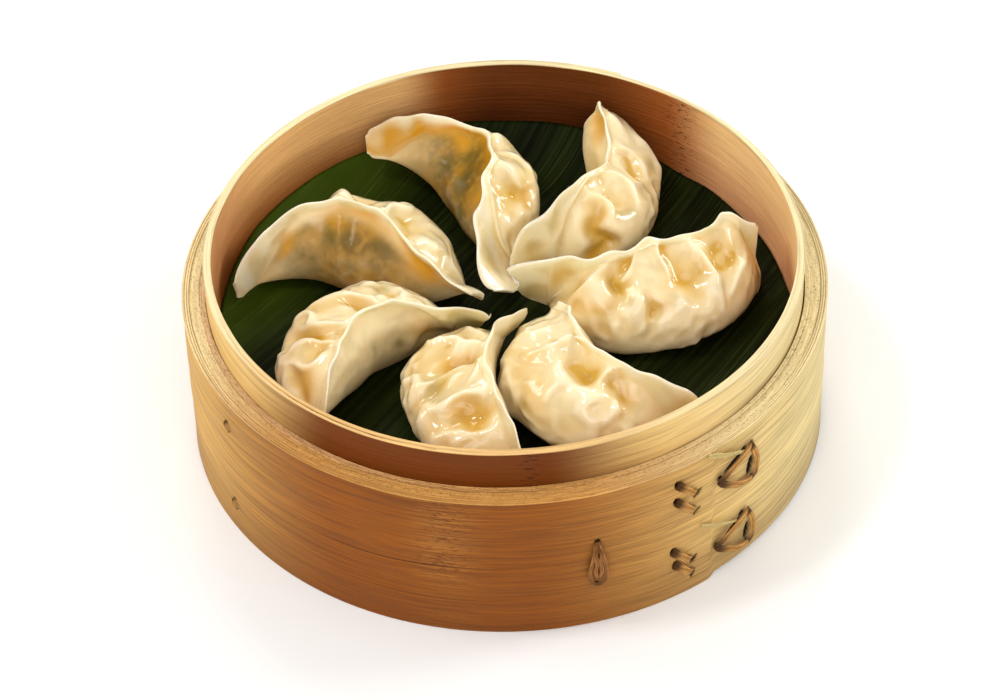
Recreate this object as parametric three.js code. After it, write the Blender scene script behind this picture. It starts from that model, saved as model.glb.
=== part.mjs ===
// A bamboo steamer basket, lined with a banana leaf, with seven pleated gyoza laid out as a pinwheel.
// Millimetres, +Z up. The origin is the middle of the circle that the basket stands on.

import * as THREE from "three";

// ---- Driving sizes ----

const basketRadius = 100;      // outside of the outer hoop
const ledgeHeight = 54;        // top of the outer and packing hoops
const rimHeight = 66.8;        // top of the inner hoop
const rimInside = 90;          // inside of the inner hoop
const rimOutside = 92.5;       // outside of the inner hoop, where its strip lies double
const outerPly = 2.2;          // thickness of the outer hoop
const plyEndAngle = -53;       // degrees, where the outer hoop's strip ends
const plyStep = 1.3;           // the strip's end hangs this much lower than its start
const packingDrop = 0.2;       // the packing hoop's top lies this far below the outer hoop's
const plyInset = 0.5;          // and stands this much further out
const rimEndAngle = 64;        // degrees, where the inner hoop's strip ends: it is thin clockwise of it
const rimStep = 1.1;           // thickness of the inner hoop's outer turn
const recessHeight = 13.4;     // the underside's recess takes the rim of a basket below
const touchGap = 0.3;          // clearance between pieces that touch
const fineFacet = 5;           // degrees
const coarseFacet = 10;

const slatWidth = 8;
const slatPitch = 11;
const slatThickness = 2;
const slatTop = 32.1;          // top of the floor of slats
const barWidth = 10;
const barHeight = 6;
const barPitch = 54;
const floorRingThickness = 3.5;

const leafLevel = 33.2;        // middle of the leaf's thickness where it lies flat
const leafThickness = 0.7;
const leafFlatRadius = 68;     // beyond this the leaf starts to climb the wall
const leafRipple = 0.35;
const leafVeinAngle = 55;      // degrees
const foodLevel = 34.3;        // underside of the gyoza

const doughEdge = 2;           // thickness of the pinched seam
const seamHeight = 2.6;        // height of the pinched seam above the filled body
const girth = 62;              // from the middle of the base round to the crest
const foldRadius = 2.2;        // half width of a pleat's ridge
const tipReach = 0.9;          // the rounded tips reach this far past the end sections
const tipNarrow = 0.45;        // and are this much narrower

// ---- Materials ----

function material(color, roughness) {
  return new THREE.MeshStandardMaterial({ color, roughness, metalness: 0 });
}

const bamboo = material(0xc8914f, 0.6);
const paleBamboo = material(0xdcc086, 0.7);
const leafGreen = material(0x1e3208, 0.35);
const rattan = material(0x9a6a3c, 0.65);
const dough = material(0xf0d6a4, 0.3);

// ---- Small helpers ----

const radians = THREE.MathUtils.degToRad;
const clamp01 = (x) => THREE.MathUtils.clamp(x, 0, 1);
const ease = (x) => THREE.MathUtils.smoothstep(x, 0, 1);

function polar(radius, degrees, z) {
  const angle = radians(degrees);
  return new THREE.Vector3(radius * Math.cos(angle), radius * Math.sin(angle), z);
}

// A geometry from points and triangles, turned inside out where its volume comes out negative.
function solid(points, triangles) {
  const cross = new THREE.Vector3();
  const volume = triangles.reduce((sum, [a, b, c]) => {
    cross.crossVectors(points[b], points[c]);
    return sum + points[a].dot(cross);
  }, 0);
  const index = triangles.flatMap(([a, b, c]) => (volume < 0 ? [a, c, b] : [a, b, c]));
  const geometry = new THREE.BufferGeometry().setFromPoints(points);
  geometry.setIndex(index);
  geometry.computeVertexNormals();
  return geometry;
}

function addPiece(group, name, geometry, finish) {
  const piece = new THREE.Mesh(geometry, finish);
  piece.name = name;
  group.add(piece);
  return piece;
}

// Triangles between two neighbouring loops of n points, whose first points are at a and b.
function band(a, b, n) {
  const triangles = [];
  for (let j = 0; j < n; j += 1) {
    const k = (j + 1) % n;
    triangles.push([a + j, b + j, b + k], [a + j, b + k, a + k]);
  }
  return triangles;
}

// ---- Hoops: bent bamboo strips, four corners at each angle ----

function hoopAngles(every, stepAngle) {
  const sharp = 0.4;
  const angles = [];
  for (let angle = -180; angle < 180; angle += every) {
    if (stepAngle === null || Math.abs(angle - stepAngle) > sharp + 1) angles.push(angle);
  }
  if (stepAngle !== null) angles.push(stepAngle - sharp, stepAngle + sharp);
  return angles.sort((a, b) => a - b);
}

// A hoop with a facet every so many degrees and, where its strip ends, a sudden step.
function hoop(section, every, stepAngle = null) {
  const angles = hoopAngles(every, stepAngle);
  const points = angles.flatMap((angle) => {
    const { inside, outside, bottom, top } = section(angle);
    return [
      polar(inside, angle, bottom),
      polar(outside, angle, bottom),
      polar(outside, angle, top),
      polar(inside, angle, top),
    ];
  });
  const corners = 4;
  const triangles = angles.flatMap((_, i) => {
    const next = (i + 1) % angles.length;
    return band(i * corners, next * corners, corners);
  });
  return solid(points, triangles);
}

// Degrees turned anticlockwise since the strip's end, 0 to 360.
function turned(angle, endAngle) {
  return (angle - endAngle + 360) % 360;
}

// The outer hoop's strip ends low and proud, and its start beside that end sits higher and deeper.
function outerHoopSection(angle) {
  const since = turned(angle, plyEndAngle);
  return {
    inside: basketRadius - outerPly,
    outside: basketRadius - plyInset * (1 - ease(since / 40)),
    bottom: plyStep * (1 - ease(since / 150)),
    top: ledgeHeight,
  };
}

function packingHoopSection() {
  return {
    inside: rimOutside + touchGap,
    outside: basketRadius - outerPly - touchGap,
    bottom: 2 * plyStep,
    top: ledgeHeight - packingDrop,
  };
}

// The inner hoop stands above the ledge, and ends as far above the base, so that another basket
// or a lid can sit round it.
function innerHoopSection(angle) {
  const thinner = rimStep * ease((turned(angle, rimEndAngle) - 295) / 65);
  return { inside: rimInside, outside: rimOutside - thinner, bottom: recessHeight, top: rimHeight };
}

// The ring inside the inner hoop, whose top carries the ends of the cross bars.
function floorRingSection() {
  const barBottom = slatTop - slatThickness - touchGap - barHeight;
  return {
    inside: rimInside - floorRingThickness,
    outside: rimInside - touchGap,
    bottom: recessHeight,
    top: barBottom - touchGap,
  };
}

// ---- Floor: slats across three cross bars, cut to the circle ----

function stripInCircle(width, height, offset) {
  const reach = rimInside - touchGap - 0.2;
  const farEdge = Math.abs(offset) + width / 2;
  const length = 2 * Math.sqrt(reach * reach - farEdge * farEdge);
  return new THREE.BoxGeometry(length, width, height);
}

function addFloor(group) {
  const slatCount = 2 * Math.floor((rimInside - slatWidth) / slatPitch) + 1;
  for (let i = 0; i < slatCount; i += 1) {
    const offset = (i - (slatCount - 1) / 2) * slatPitch;
    const slat = addPiece(group, `slat_${i + 1}`, stripInCircle(slatWidth, slatThickness, offset), bamboo);
    slat.position.set(0, offset, slatTop - slatThickness / 2);
  }
  const barTop = slatTop - slatThickness - touchGap;
  for (const side of [-1, 0, 1]) {
    const offset = side * barPitch;
    const bar = addPiece(group, `cross_bar_${side + 2}`, stripInCircle(barWidth, barHeight, offset), bamboo);
    bar.rotation.z = Math.PI / 2;
    bar.position.set(offset, 0, barTop - barHeight / 2);
  }
}

// ---- Banana leaf: a thin sheet, rippled along its veins, that climbs the wall at its edge ----

// Height that the leaf's edge reaches above its flat level, at some angles round the wall.
const leafClimb = [
  [-180, 3.5], [-150, 3], [-120, 4], [-90, 5], [-60, 4], [-30, 6], [-8, 9], [10, 3], [45, 3.5],
  [75, 10], [95, 11], [120, 9], [150, 7.5], [170, 4.5], [180, 3.5],
];

function leafEdgeClimb(angle) {
  const next = leafClimb.findIndex(([at]) => at >= angle);
  const [a, low] = leafClimb[Math.max(next - 1, 0)];
  const [b, high] = leafClimb[Math.max(next, 1)];
  return low + (high - low) * ease((angle - a) / (b - a));
}

function leafHeight(radius, angle) {
  const across = radius * Math.sin(radians(angle - leafVeinAngle));
  const ripple = leafRipple * Math.sin(across / 4.6);
  const climb = clamp01((radius - leafFlatRadius) / (rimInside - leafFlatRadius)) ** 2;
  return leafLevel + ripple + leafEdgeClimb(angle) * climb;
}

function leafGeometry() {
  const radii = [18, 36, 53, leafFlatRadius, 76, 83, rimInside - 0.5];
  const spokes = 40;
  const points = [];
  const triangles = [];
  const faceSize = 1 + radii.length * spokes;
  for (const side of [1, -1]) {
    const lift = (side * leafThickness) / 2;
    points.push(new THREE.Vector3(0, 0, leafHeight(0, 0) + lift));
    for (const radius of radii) {
      for (let i = 0; i < spokes; i += 1) {
        const angle = -180 + (i * 360) / spokes;
        points.push(polar(radius, angle, leafHeight(radius, angle) + lift));
      }
    }
  }
  for (const base of [0, faceSize]) {
    const flip = (list) => (base ? list.map(([a, b, c]) => [a, c, b]) : list);
    const fan = Array.from({ length: spokes }, (_, i) => [base, base + 1 + i, base + 1 + ((i + 1) % spokes)]);
    triangles.push(...flip(fan));
    for (let ring = 0; ring < radii.length - 1; ring += 1) {
      const start = base + 1 + ring * spokes;
      triangles.push(...flip(band(start, start + spokes, spokes)));
    }
  }
  const edge = 1 + (radii.length - 1) * spokes;
  triangles.push(...band(edge, edge + faceSize, spokes));
  return solid(points, triangles);
}

// ---- Gyoza ----

// Each gyoza is a crescent of dough folded over its filling and pinched along a seam on top.
// It runs from its outer end, by the wall, to its inner end, by the middle of the basket.
//   outer, inner   where the ends lie: x, y, and height above the leaf
//   bow            how far the middle bulges towards the pleated side; bowSkew moves the bulge
//   crest          seam heights at outer end, highest point and inner end; crestSkew moves the peak
//   belly, pleated greatest half widths of the smooth and of the pleated side
//   roll           degrees that the section tips towards the pleated side: outer, middle, inner
//   lean           how far the crest is pushed towards the pleated side
//   filled         fractions of the length between which there is filling
//   flare          how far the seam overhangs the outer and the inner end
//   horn           a point that the seam rises to: fraction of the length, half width, height
//   dimples        hollows in the pleated side: along (0 outer end to 1), up (0 base, 1 crest),
//                  radius, depth
//   folds          pleats' ridges: from along, up, to along, up, height
const gyozas = [
  {
    outer: [-42.5, 69.3, 10.6], inner: [3.9, 11, 2.2], bow: 22.2, bowSkew: 0.89,
    crest: [3, 28.9, 8], crestSkew: 1.19, belly: 15.8, pleated: 14.7,
    roll: [34, -4, -49], lean: 1.3, filled: [0.08, 0.85], flare: [0.1, 7.9],
    dimples: [[0.3, 0.69, 4, 1.8], [0.73, 0.69, 4.5, 3], [0.51, 0.78, 4, 1.2], [0.81, 0.78, 3.5, 1.2],
      [0.84, 0.66, 2, 2]],
    folds: [[0.4, 0.95, 0.43, 0.6, 1.4], [0.59, 0.95, 0.67, 0.57, 1.8], [0.77, 0.8, 0.7, 0.49, 1.2]],
  },
  {
    outer: [32.5, 73, 11.4], inner: [7.6, 15.7, 1.6], bow: 14, bowSkew: 0.99,
    crest: [13.1, 30.2, 2.5], crestSkew: 1.68, belly: 9.1, pleated: 16.3,
    roll: [1, -7, -9], lean: 0.6, filled: [-0.08, 0.85], flare: [2.6, 5.2],
    dimples: [[0.29, 0.69, 4, 3], [0.56, 0.68, 4, 2.6], [0.72, 0.53, 4, 2.8], [0.49, 0.47, 3.5, 1]],
    folds: [[0.19, 0.81, 0.25, 0.6, 1.4], [0.53, 0.79, 0.53, 0.57, 1.8], [0.7, 0.69, 0.67, 0.54, 1.4],
      [0.66, 0.47, 0.55, 0.49, 0.8]],
  },
  {
    outer: [79.3, 17.7, 0.8], inner: [5.7, 6.2, 7], bow: 12.8, bowSkew: 1.12,
    crest: [20, 29.7, 11.3], crestSkew: 1.11, belly: 17.6, pleated: 20,
    roll: [2, -1, 21], lean: -1.9, filled: [-0.02, 0.88], flare: [-1.4, 0.9], horn: [0.12, 0.08, 5],
    dimples: [[0.61, 0.71, 4, 4.2], [0.38, 0.66, 6, 3.2], [0.22, 0.65, 4, 2.2], [0.54, 0.62, 3.5, 1.5]],
    folds: [[0.5, 0.95, 0.59, 0.74, 2], [0.49, 0.93, 0.47, 0.66, 1.6], [0.27, 0.78, 0.29, 0.55, 1.8],
      [0.66, 0.76, 0.71, 0.69, 1.2]],
  },
  {
    outer: [56.7, -54.2, 2.7], inner: [12.8, -11.7, 0.8], bow: 17.5, bowSkew: 0.99,
    crest: [12.9, 28.5, 16.9], crestSkew: 1.06, belly: 12, pleated: 20.2,
    roll: [10, -4, -8], lean: -2.8, filled: [0.09, 1.1], flare: [0.8, 0.2],
    dimples: [[0.41, 0.7, 5.5, 4.2], [0.24, 0.69, 4.5, 2.8], [0.62, 0.71, 4, 1.8]],
    folds: [[0.65, 0.61, 0.61, 0.86, 1.6], [0.4, 0.81, 0.33, 0.68, 1.2], [0.32, 0.56, 0.28, 0.69, 1.8],
      [0.48, 0.59, 0.5, 0.68, 0.9]],
  },
  {
    outer: [6.8, -76.6, 5.6], inner: [4.5, -8.5, 2], bow: 21.6, bowSkew: 1.18,
    crest: [12.9, 26.7, 2.5], crestSkew: 1.14, belly: 9.5, pleated: 19.1,
    roll: [19, -16, -1], lean: -2.7, filled: [0.09, 0.91], flare: [1.7, 1.6],
    dimples: [[0.49, 0.74, 6, 3.6], [0.39, 0.65, 4, 1.8], [0.27, 0.65, 4.5, 2.8], [0.69, 0.7, 3, 1.4]],
    folds: [[0.63, 0.64, 0.65, 0.81, 1.6], [0.47, 0.51, 0.36, 0.76, 1.7],
      [0.39, 0.56, 0.27, 0.76, 1.2]],
  },
  {
    outer: [-58.9, -54.3, 6.6], inner: [-1.8, -2.9, 1.1], bow: 20.7, bowSkew: 0.96,
    crest: [13, 28.4, 15.6], crestSkew: 1.15, belly: 10.5, pleated: 19.8,
    roll: [-13, -9, -36], lean: -4.7, filled: [0.06, 0.87], flare: [5.1, 2.7],
    dimples: [[0.46, 0.74, 5, 3.2], [0.28, 0.72, 4, 3], [0.18, 0.69, 4, 2.6], [0.13, 0.6, 4.5, 2.4],
      [0.62, 0.72, 4, 1.4]],
    folds: [[0.47, 0.6, 0.56, 0.76, 1.6], [0.35, 0.6, 0.24, 0.95, 1.8], [0.23, 0.59, 0.22, 0.8, 1.8],
      [0.17, 0.6, 0.15, 0.79, 1.4]],
  },
  {
    outer: [-83.3, 11.8, 3], inner: [-4.9, 2.5, 4.1], bow: 23.2, bowSkew: 0.77,
    crest: [3.4, 27.8, 9.4], crestSkew: 1.01, belly: 18.7, pleated: 18.3,
    roll: [7, -1, -40], lean: -2.8, filled: [0.09, 0.88], flare: [2.8, 4.7],
    dimples: [[0.3, 0.7, 4.5, 2.4], [0.46, 0.72, 4.5, 2.6], [0.62, 0.7, 4.5, 2.6],
      [0.76, 0.74, 4, 1.8]],
    folds: [[0.38, 0.95, 0.37, 0.6, 1.7], [0.55, 0.95, 0.53, 0.6, 1.7], [0.69, 0.95, 0.72, 0.62, 1.5]],
  },
];

const stations = 28;                                                     // sections along a gyoza
const ups = [0.2, 0.34, 0.44, 0.52, 0.6, 0.68, 0.76, 0.84, 0.93];        // points up each side

// A curve through three values, at the start, the middle and the end.
function throughThree([start, middle, end], along) {
  const s = along;
  return start * (1 - s) * (1 - 2 * s) + middle * 4 * s * (1 - s) + end * s * (2 * s - 1);
}

// A cubic Bezier curve through the plane, from the first point to the last.
function bezier([p0, p1, p2, p3], t) {
  const r = 1 - t;
  const mix = (i) => r ** 3 * p0[i] + 3 * r * r * t * p1[i] + 3 * r * t * t * p2[i] + t ** 3 * p3[i];
  return [mix(0), mix(1)];
}

// Half of a section at a given way up: a flat base, a round flank, a slope and an upright seam.
// The slope meets the seam in a hollow, which is wider and flatter on the pleated side.
function flank(side, up, width, seamTop, seam) {
  const [baseEnd, widest, slopeEnd] = [0.22, 0.42, 0.84];
  const [hollowWidth, hollowDepth] = side < 0 ? [0.24, 0.24] : [0.36, 0.12];
  const root = seamTop - seam;
  const widestHeight = 0.34 * root;
  const base = 0.66 * width;
  const edge = doughEdge / 2;
  if (up < baseEnd) return [(base * up) / baseEnd, 0];
  if (up < widest) {
    const turn = ((up - baseEnd) / (widest - baseEnd)) * (Math.PI / 2);
    return [base + (width - base) * Math.sin(turn), widestHeight * (1 - Math.cos(turn))];
  }
  if (up < slopeEnd) {
    const slope = root - widestHeight;
    return bezier([
      [width, widestHeight],
      [width, widestHeight + 0.5 * slope],
      [edge + hollowWidth * (width - edge), root - hollowDepth * slope],
      [edge, root],
    ], (up - widest) / (slopeEnd - widest));
  }
  return [edge, root + (0.92 * seam * (up - slopeEnd)) / (1 - slopeEnd)];
}

// How far the pleated side stands out, in millimetres, from its dimples and its folds.
function pleatRelief(gyoza, length, along, up) {
  const x = along * length;
  const y = up * girth;
  let relief = 0;
  for (const [dimpleAlong, dimpleUp, radius, depth] of gyoza.dimples) {
    const away = (x - dimpleAlong * length) ** 2 + (0.9 * (y - dimpleUp * girth)) ** 2;
    relief -= depth * Math.exp(-away / (1.3 * radius * radius));
  }
  for (const [alongA, upA, alongB, upB, height] of gyoza.folds) {
    const start = new THREE.Vector2(alongA * length, upA * girth);
    const span = new THREE.Vector2(alongB * length, upB * girth).sub(start);
    const here = new THREE.Vector2(x, y).sub(start);
    const part = clamp01(here.dot(span) / span.lengthSq());
    relief += height * Math.exp(-here.addScaledVector(span, -part).lengthSq() / foldRadius ** 2);
  }
  return relief * clamp01((up - 0.3) / 0.15) * clamp01((1.02 - up) / 0.12);
}

// A section: its loop as [sideways, height], from the base's middle up the smooth side, over the
// crest and down the pleated side, with the crest's height and the share of filling.
function sectionLoop(gyoza, length, along) {
  const [from, to] = gyoza.filled;
  const within = clamp01((along - from + 0.03) / (to - from + 0.06));
  const filling = (1 - Math.abs(2 * within - 1) ** 2.6) ** 1.1;
  const rise = Math.sin(Math.PI * clamp01((along ** gyoza.crestSkew + 0.02) / 1.04)) ** 0.5;
  const [outerCrest, peak, innerCrest] = gyoza.crest;
  const ends = outerCrest + (innerCrest - outerCrest) * along;
  const [hornAt, hornWidth, hornHeight] = gyoza.horn ?? [0, 1, 0];
  const horn = hornHeight * Math.exp(-(((along - hornAt) / hornWidth) ** 2));
  const top = ends * (1 - rise) + peak * rise + horn;
  const seam = Math.min(seamHeight + (top - seamHeight - 0.5) * (1 - filling) ** 2.4, top - 1);
  const edge = doughEdge / 2;
  const lean = (z) => gyoza.lean * rise * clamp01(z / top) ** 1.3;
  const place = (side, halfWidth, up) => {
    const [u, z] = flank(side, up, edge + (halfWidth - edge) * filling, top, seam);
    return [side * u + lean(z), z];
  };
  const smooth = ups.map((up) => place(-1, gyoza.belly, up));
  const pleated = ups.map((up) => place(1, gyoza.pleated, up));
  const raised = pleated.map(([u, z], i) => {
    const [ua, za] = pleated[Math.max(i - 1, 0)];
    const [ub, zb] = pleated[i + 1] ?? [lean(top), top];
    const out = new THREE.Vector2(zb - za, ua - ub).normalize();
    const relief = pleatRelief(gyoza, length, along, ups[i]) * filling;
    return [u + relief * out.x, z + relief * out.y];
  });
  const loop = [[0, 0], ...smooth, [lean(top), top], ...raised.reverse()];
  return { loop, top, filling };
}

function gyozaGeometry(gyoza) {
  const outer = new THREE.Vector2(gyoza.outer[0], gyoza.outer[1]);
  const chord = new THREE.Vector2(gyoza.inner[0], gyoza.inner[1]).sub(outer);
  const length = 1.12 * chord.length();
  const sideways = new THREE.Vector2(-chord.y, chord.x).normalize();
  const spine = (along) => outer.clone()
    .addScaledVector(chord, along)
    .addScaledVector(sideways, gyoza.bow * Math.sin(Math.PI * along ** gyoza.bowSkew));
  const points = [];
  const loopSize = 2 * ups.length + 2;
  const sections = Array.from({ length: stations }, (_, i) => {
    return { along: i / (stations - 1), narrow: 1, reach: 0 };
  });
  sections.unshift({ along: 0, narrow: tipNarrow, reach: -tipReach });
  sections.push({ along: 1, narrow: tipNarrow, reach: tipReach });
  for (const { along, narrow, reach } of sections) {
    const small = 0.01;
    const forward = spine(Math.min(along + small, 1)).sub(spine(Math.max(along - small, 0))).normalize();
    const across = new THREE.Vector2(-forward.y, forward.x);
    const roll = radians(throughThree(gyoza.roll, along));
    const { loop, top, filling } = sectionLoop(gyoza, length, along);
    const lift = gyoza.outer[2] * (1 - ease(along / 0.35)) + gyoza.inner[2] * ease((along - 0.7) / 0.3)
      + (doughEdge / 2) * Math.abs(Math.sin(roll)) * (1 - filling);
    const flare = gyoza.flare[1] * ease((along - 0.8) / 0.2) - gyoza.flare[0] * (1 - ease(along / 0.2));
    for (const [fullU, fullZ] of loop) {
      const u = fullU * narrow;
      const z = top / 2 + (fullZ - top / 2) * (1 - (1 - narrow) * Math.min(1, doughEdge / top));
      const height = Math.max(z * Math.cos(roll) - u * Math.sin(roll), 0);
      const ground = spine(along)
        .addScaledVector(across, u * Math.cos(roll) + z * Math.sin(roll))
        .addScaledVector(forward, reach + flare * clamp01(height / top));
      points.push(new THREE.Vector3(ground.x, ground.y, foodLevel + lift + height));
    }
  }
  const triangles = [];
  for (let i = 0; i < sections.length - 1; i += 1) {
    triangles.push(...band(i * loopSize, (i + 1) * loopSize, loopSize));
  }
  triangles.push(...endCap(0, loopSize, true));
  triangles.push(...endCap((sections.length - 1) * loopSize, loopSize, false));
  return solid(points, triangles);
}

// A cap across a flat loop, in rungs from the smooth side to the pleated side.
function endCap(start, loopSize, flip) {
  const triangles = [];
  const half = loopSize / 2;
  for (let j = 0; j < half; j += 1) {
    const [a, b] = [start + j, start + j + 1];
    const [c, d] = [start + ((loopSize - j) % loopSize), start + loopSize - j - 1];
    if (j > 0) triangles.push([a, c, b]);
    if (j < half - 1) triangles.push([b, c, d]);
  }
  return flip ? triangles.map(([a, b, c]) => [a, c, b]) : triangles;
}

// ---- Rattan: the ties and stitches that hold the strip's end, and two loose slivers ----

// Points are degrees round the basket, height, and how far the strand stands off the hoop.
function strandGeometry(points, { width, thickness, steps }) {
  const bed = basketRadius + touchGap + thickness / 2;
  const extrudePath = new THREE.CatmullRomCurve3(points.map(([angle, z, off]) => polar(bed + off, angle, z)));
  const shape = new THREE.Shape();
  shape.absellipse(0, 0, thickness / 2, width / 2, 0, 2 * Math.PI, false, 0);
  return new THREE.ExtrudeGeometry(shape, { steps, curveSegments: 3, bevelEnabled: false, extrudePath });
}

const tieStrand = { width: 1.5, thickness: 0.9, steps: 26 };
const loopStrand = { width: 1.5, thickness: 0.9, steps: 20 };
const stitchStrand = { width: 1.5, thickness: 0.9, steps: 6 };
const sliver = { width: 1.2, thickness: 0.5, steps: 6 };
const peg = { width: 1.3, thickness: 0.6, steps: 3 };

// A triangular tie: out of a hole at its top, down to the left, along the bottom and back up.
function tiePoints(angle, z) {
  return [
    [angle - 0.5, z + 6.6, 0], [angle - 3.8, z + 3.4, 0.7], [angle - 6.9, z - 0.2, 0.4],
    [angle - 7.4, z - 1.8, 0], [angle - 5.2, z - 3.4, 0.4], [angle - 2.2, z - 5.2, 0.5],
    [angle + 0.3, z - 6.2, 0.2], [angle + 1.4, z - 2.6, 0.6], [angle + 1.2, z + 2, 0.6],
    [angle + 0.7, z + 5, 0.2],
  ];
}

// A short stitch: a strand that comes out of one hole and goes back in at the next.
function stitchPoints(angle, z) {
  return [[angle, z, 0], [angle + 1.2, z - 1.2, 0.5], [angle + 3, z - 4, 0.6], [angle + 4.4, z - 6.6, 0]];
}

// A tall loop, hung from one hole, whose two sides come back together at the top.
function loopPoints(angle, z) {
  const side = (way) => [[way * 1.4, -5.4, 0.4], [way * 1.5, -1, 0.6], [way * 1.1, 4.5, 0.5]];
  const offsets = [
    [-0.4, 8, 0], ...side(-1).reverse(), [0, -7, 0.2], ...side(1), [0.4, 7.6, 0],
  ];
  return offsets.map(([turn, rise, off]) => [angle + turn, z + rise, off]);
}

// A splinter of cane that lies flat on the hoop, down to the right.
function sliverPoints(angle, z) {
  const offsets = [[0, 0, 0.1], [2.7, -2.6, 0.2], [5.6, -5.1, 0.2], [7.5, -6.9, 0.1]];
  return offsets.map(([turn, rise, off]) => [angle + turn, z + rise, off]);
}

function pegPoints(angle, z) {
  return [[angle - 0.8, z + 1, 0], [angle, z, 0.2], [angle + 0.9, z - 1.2, 0]];
}

function addRattan(group) {
  const add = (name, points, strand) => addPiece(group, name, strandGeometry(points, strand), rattan);
  add("tie_upper", tiePoints(-44.1, 39.3), tieStrand);
  add("tie_lower", tiePoints(-45, 12.8), tieStrand);
  const stitches = [[-61.1, 46.4], [-61.5, 38.7], [-61.6, 19.6], [-61.2, 13.3]];
  stitches.forEach(([angle, z], i) => add(`stitch_${i + 1}`, stitchPoints(angle, z), stitchStrand));
  add("loop_tie", loopPoints(-75.7, 25), loopStrand);
  add("sliver_upper", sliverPoints(-55, 53), sliver);
  add("sliver_lower", sliverPoints(-56.2, 26), sliver);
  const pegAngle = -147.4;
  [44.5, 11.8].forEach((z, i) => add(`peg_${i + 1}`, pegPoints(pegAngle, z), peg));
}

// ---- The whole basket ----

const basket = new THREE.Group();
addPiece(basket, "outer_hoop", hoop(outerHoopSection, fineFacet, plyEndAngle), bamboo);
addPiece(basket, "packing_hoop", hoop(packingHoopSection, fineFacet), paleBamboo);
addPiece(basket, "inner_hoop", hoop(innerHoopSection, fineFacet, rimEndAngle), bamboo);
addPiece(basket, "floor_ring", hoop(floorRingSection, coarseFacet), bamboo);
addFloor(basket);
addPiece(basket, "banana_leaf", leafGeometry(), leafGreen);
gyozas.forEach((gyoza, i) => addPiece(basket, `gyoza_${i + 1}`, gyozaGeometry(gyoza), dough));
addRattan(basket);

export default basket;
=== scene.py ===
import math

import bpy
import numpy as np
from mathutils import Matrix, Vector


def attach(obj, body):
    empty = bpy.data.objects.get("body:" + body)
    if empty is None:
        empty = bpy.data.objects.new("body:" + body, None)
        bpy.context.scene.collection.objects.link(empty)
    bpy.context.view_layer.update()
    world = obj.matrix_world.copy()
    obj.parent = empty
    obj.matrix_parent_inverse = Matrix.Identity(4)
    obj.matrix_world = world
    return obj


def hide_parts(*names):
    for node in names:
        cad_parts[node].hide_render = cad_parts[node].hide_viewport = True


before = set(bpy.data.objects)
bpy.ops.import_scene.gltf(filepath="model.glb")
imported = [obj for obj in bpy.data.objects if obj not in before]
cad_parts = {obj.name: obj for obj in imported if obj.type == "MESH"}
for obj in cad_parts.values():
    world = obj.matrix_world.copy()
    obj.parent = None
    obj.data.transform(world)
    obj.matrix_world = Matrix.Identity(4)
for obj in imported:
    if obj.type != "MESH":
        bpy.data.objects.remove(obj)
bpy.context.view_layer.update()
scene = bpy.context.scene
mm = 0.001
perMetre = 1000.0  # millimetres in a metre
print("frame loaded:", len(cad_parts), "nodes")


# camera, lights and floor

cameraPlace = {
    "position": (-2.04702, -770.09076, 731.49486),  # mm
    "right": (0.99956966, -0.01986767, -0.0215819),
    "up": (0.02933433, 0.6769925, 0.73540509),
    "back": (0.0, -0.73572171, 0.67728397),
    "lens": 119.126, "sensor": 36.0, "farthest": 20.0,
}


def addCamera(place):
    camera = bpy.data.objects.new("studioCamera", bpy.data.cameras.new("studioCamera"))
    camera.data.lens = place["lens"]
    camera.data.sensor_width = place["sensor"]
    camera.data.clip_end = place["farthest"]
    turn = Matrix((place["right"], place["up"], place["back"])).transposed().to_4x4()
    camera.matrix_world = Matrix.Translation(Vector(place["position"]) * mm) @ turn
    scene.collection.objects.link(camera)
    scene.camera = camera


softBoxes = [  # place and aim in metres, size in metres, watts
    {"name": "leftBox", "place": (-1.6, 0.5, 0.9), "aim": (0, 0, 0.03), "size": (0.45, 0.5), "watts": 4.2},
    {"name": "rightBox", "place": (1.6, 0.45, 0.85), "aim": (0, 0, 0.03), "size": (0.5, 0.6), "watts": 12.5},
    {"name": "backBox", "place": (-0.15, 1.2, 1.5), "aim": (0, 0, 0.04), "size": (0.5, 0.3), "watts": 5},
    {"name": "sparkBox", "place": (-0.75, -0.1, 1.5), "aim": (0, 0, 0.04), "size": (0.3, 0.26), "watts": 6.5},
    {"name": "frontFill", "place": (0, -1.7, 1.3), "aim": (0, 0, 0.04), "size": (1.6, 1.2), "watts": 12.5},
]


def addSoftBox(box):
    lamp = bpy.data.lights.new(box["name"], "AREA")
    lamp.shape = "RECTANGLE"
    lamp.size, lamp.size_y = box["size"]
    lamp.energy = box["watts"]
    holder = bpy.data.objects.new(box["name"], lamp)
    holder.location = box["place"]
    aim = Vector(box["aim"]) - Vector(box["place"])
    holder.rotation_euler = aim.to_track_quat("-Z", "Y").to_euler()
    scene.collection.objects.link(holder)


skyLight = {"color": (1.0, 0.985, 0.96, 1.0), "strength": 0.67}


def addWorld(light):
    world = bpy.data.worlds.new("studioWorld")
    world.use_nodes = True
    background = world.node_tree.nodes["Background"].inputs
    background["Color"].default_value = light["color"]
    background["Strength"].default_value = light["strength"]
    scene.world = world


addCamera(cameraPlace)
for softBox in softBoxes:
    addSoftBox(softBox)
addWorld(skyLight)
scene.view_settings.view_transform = "Standard"
scene.view_settings.look = "None"
print("camera and lights placed")


# node helpers, for materials and for geometry

def fill(node, inputs):
    for key, value in inputs.items():
        socket = node.inputs[key]
        if isinstance(value, bpy.types.NodeSocket):
            node.id_data.links.new(value, socket)
        else:
            socket.default_value = value


def wire(tree, kind, inputs=None, **settings):
    node = tree.nodes.new(kind)
    for key, value in settings.items():
        setattr(node, key, value)
    fill(node, inputs or {})
    return node


def made(tree, kind, inputs=None, **settings):
    return wire(tree, kind, inputs, **settings).outputs[0]


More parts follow.
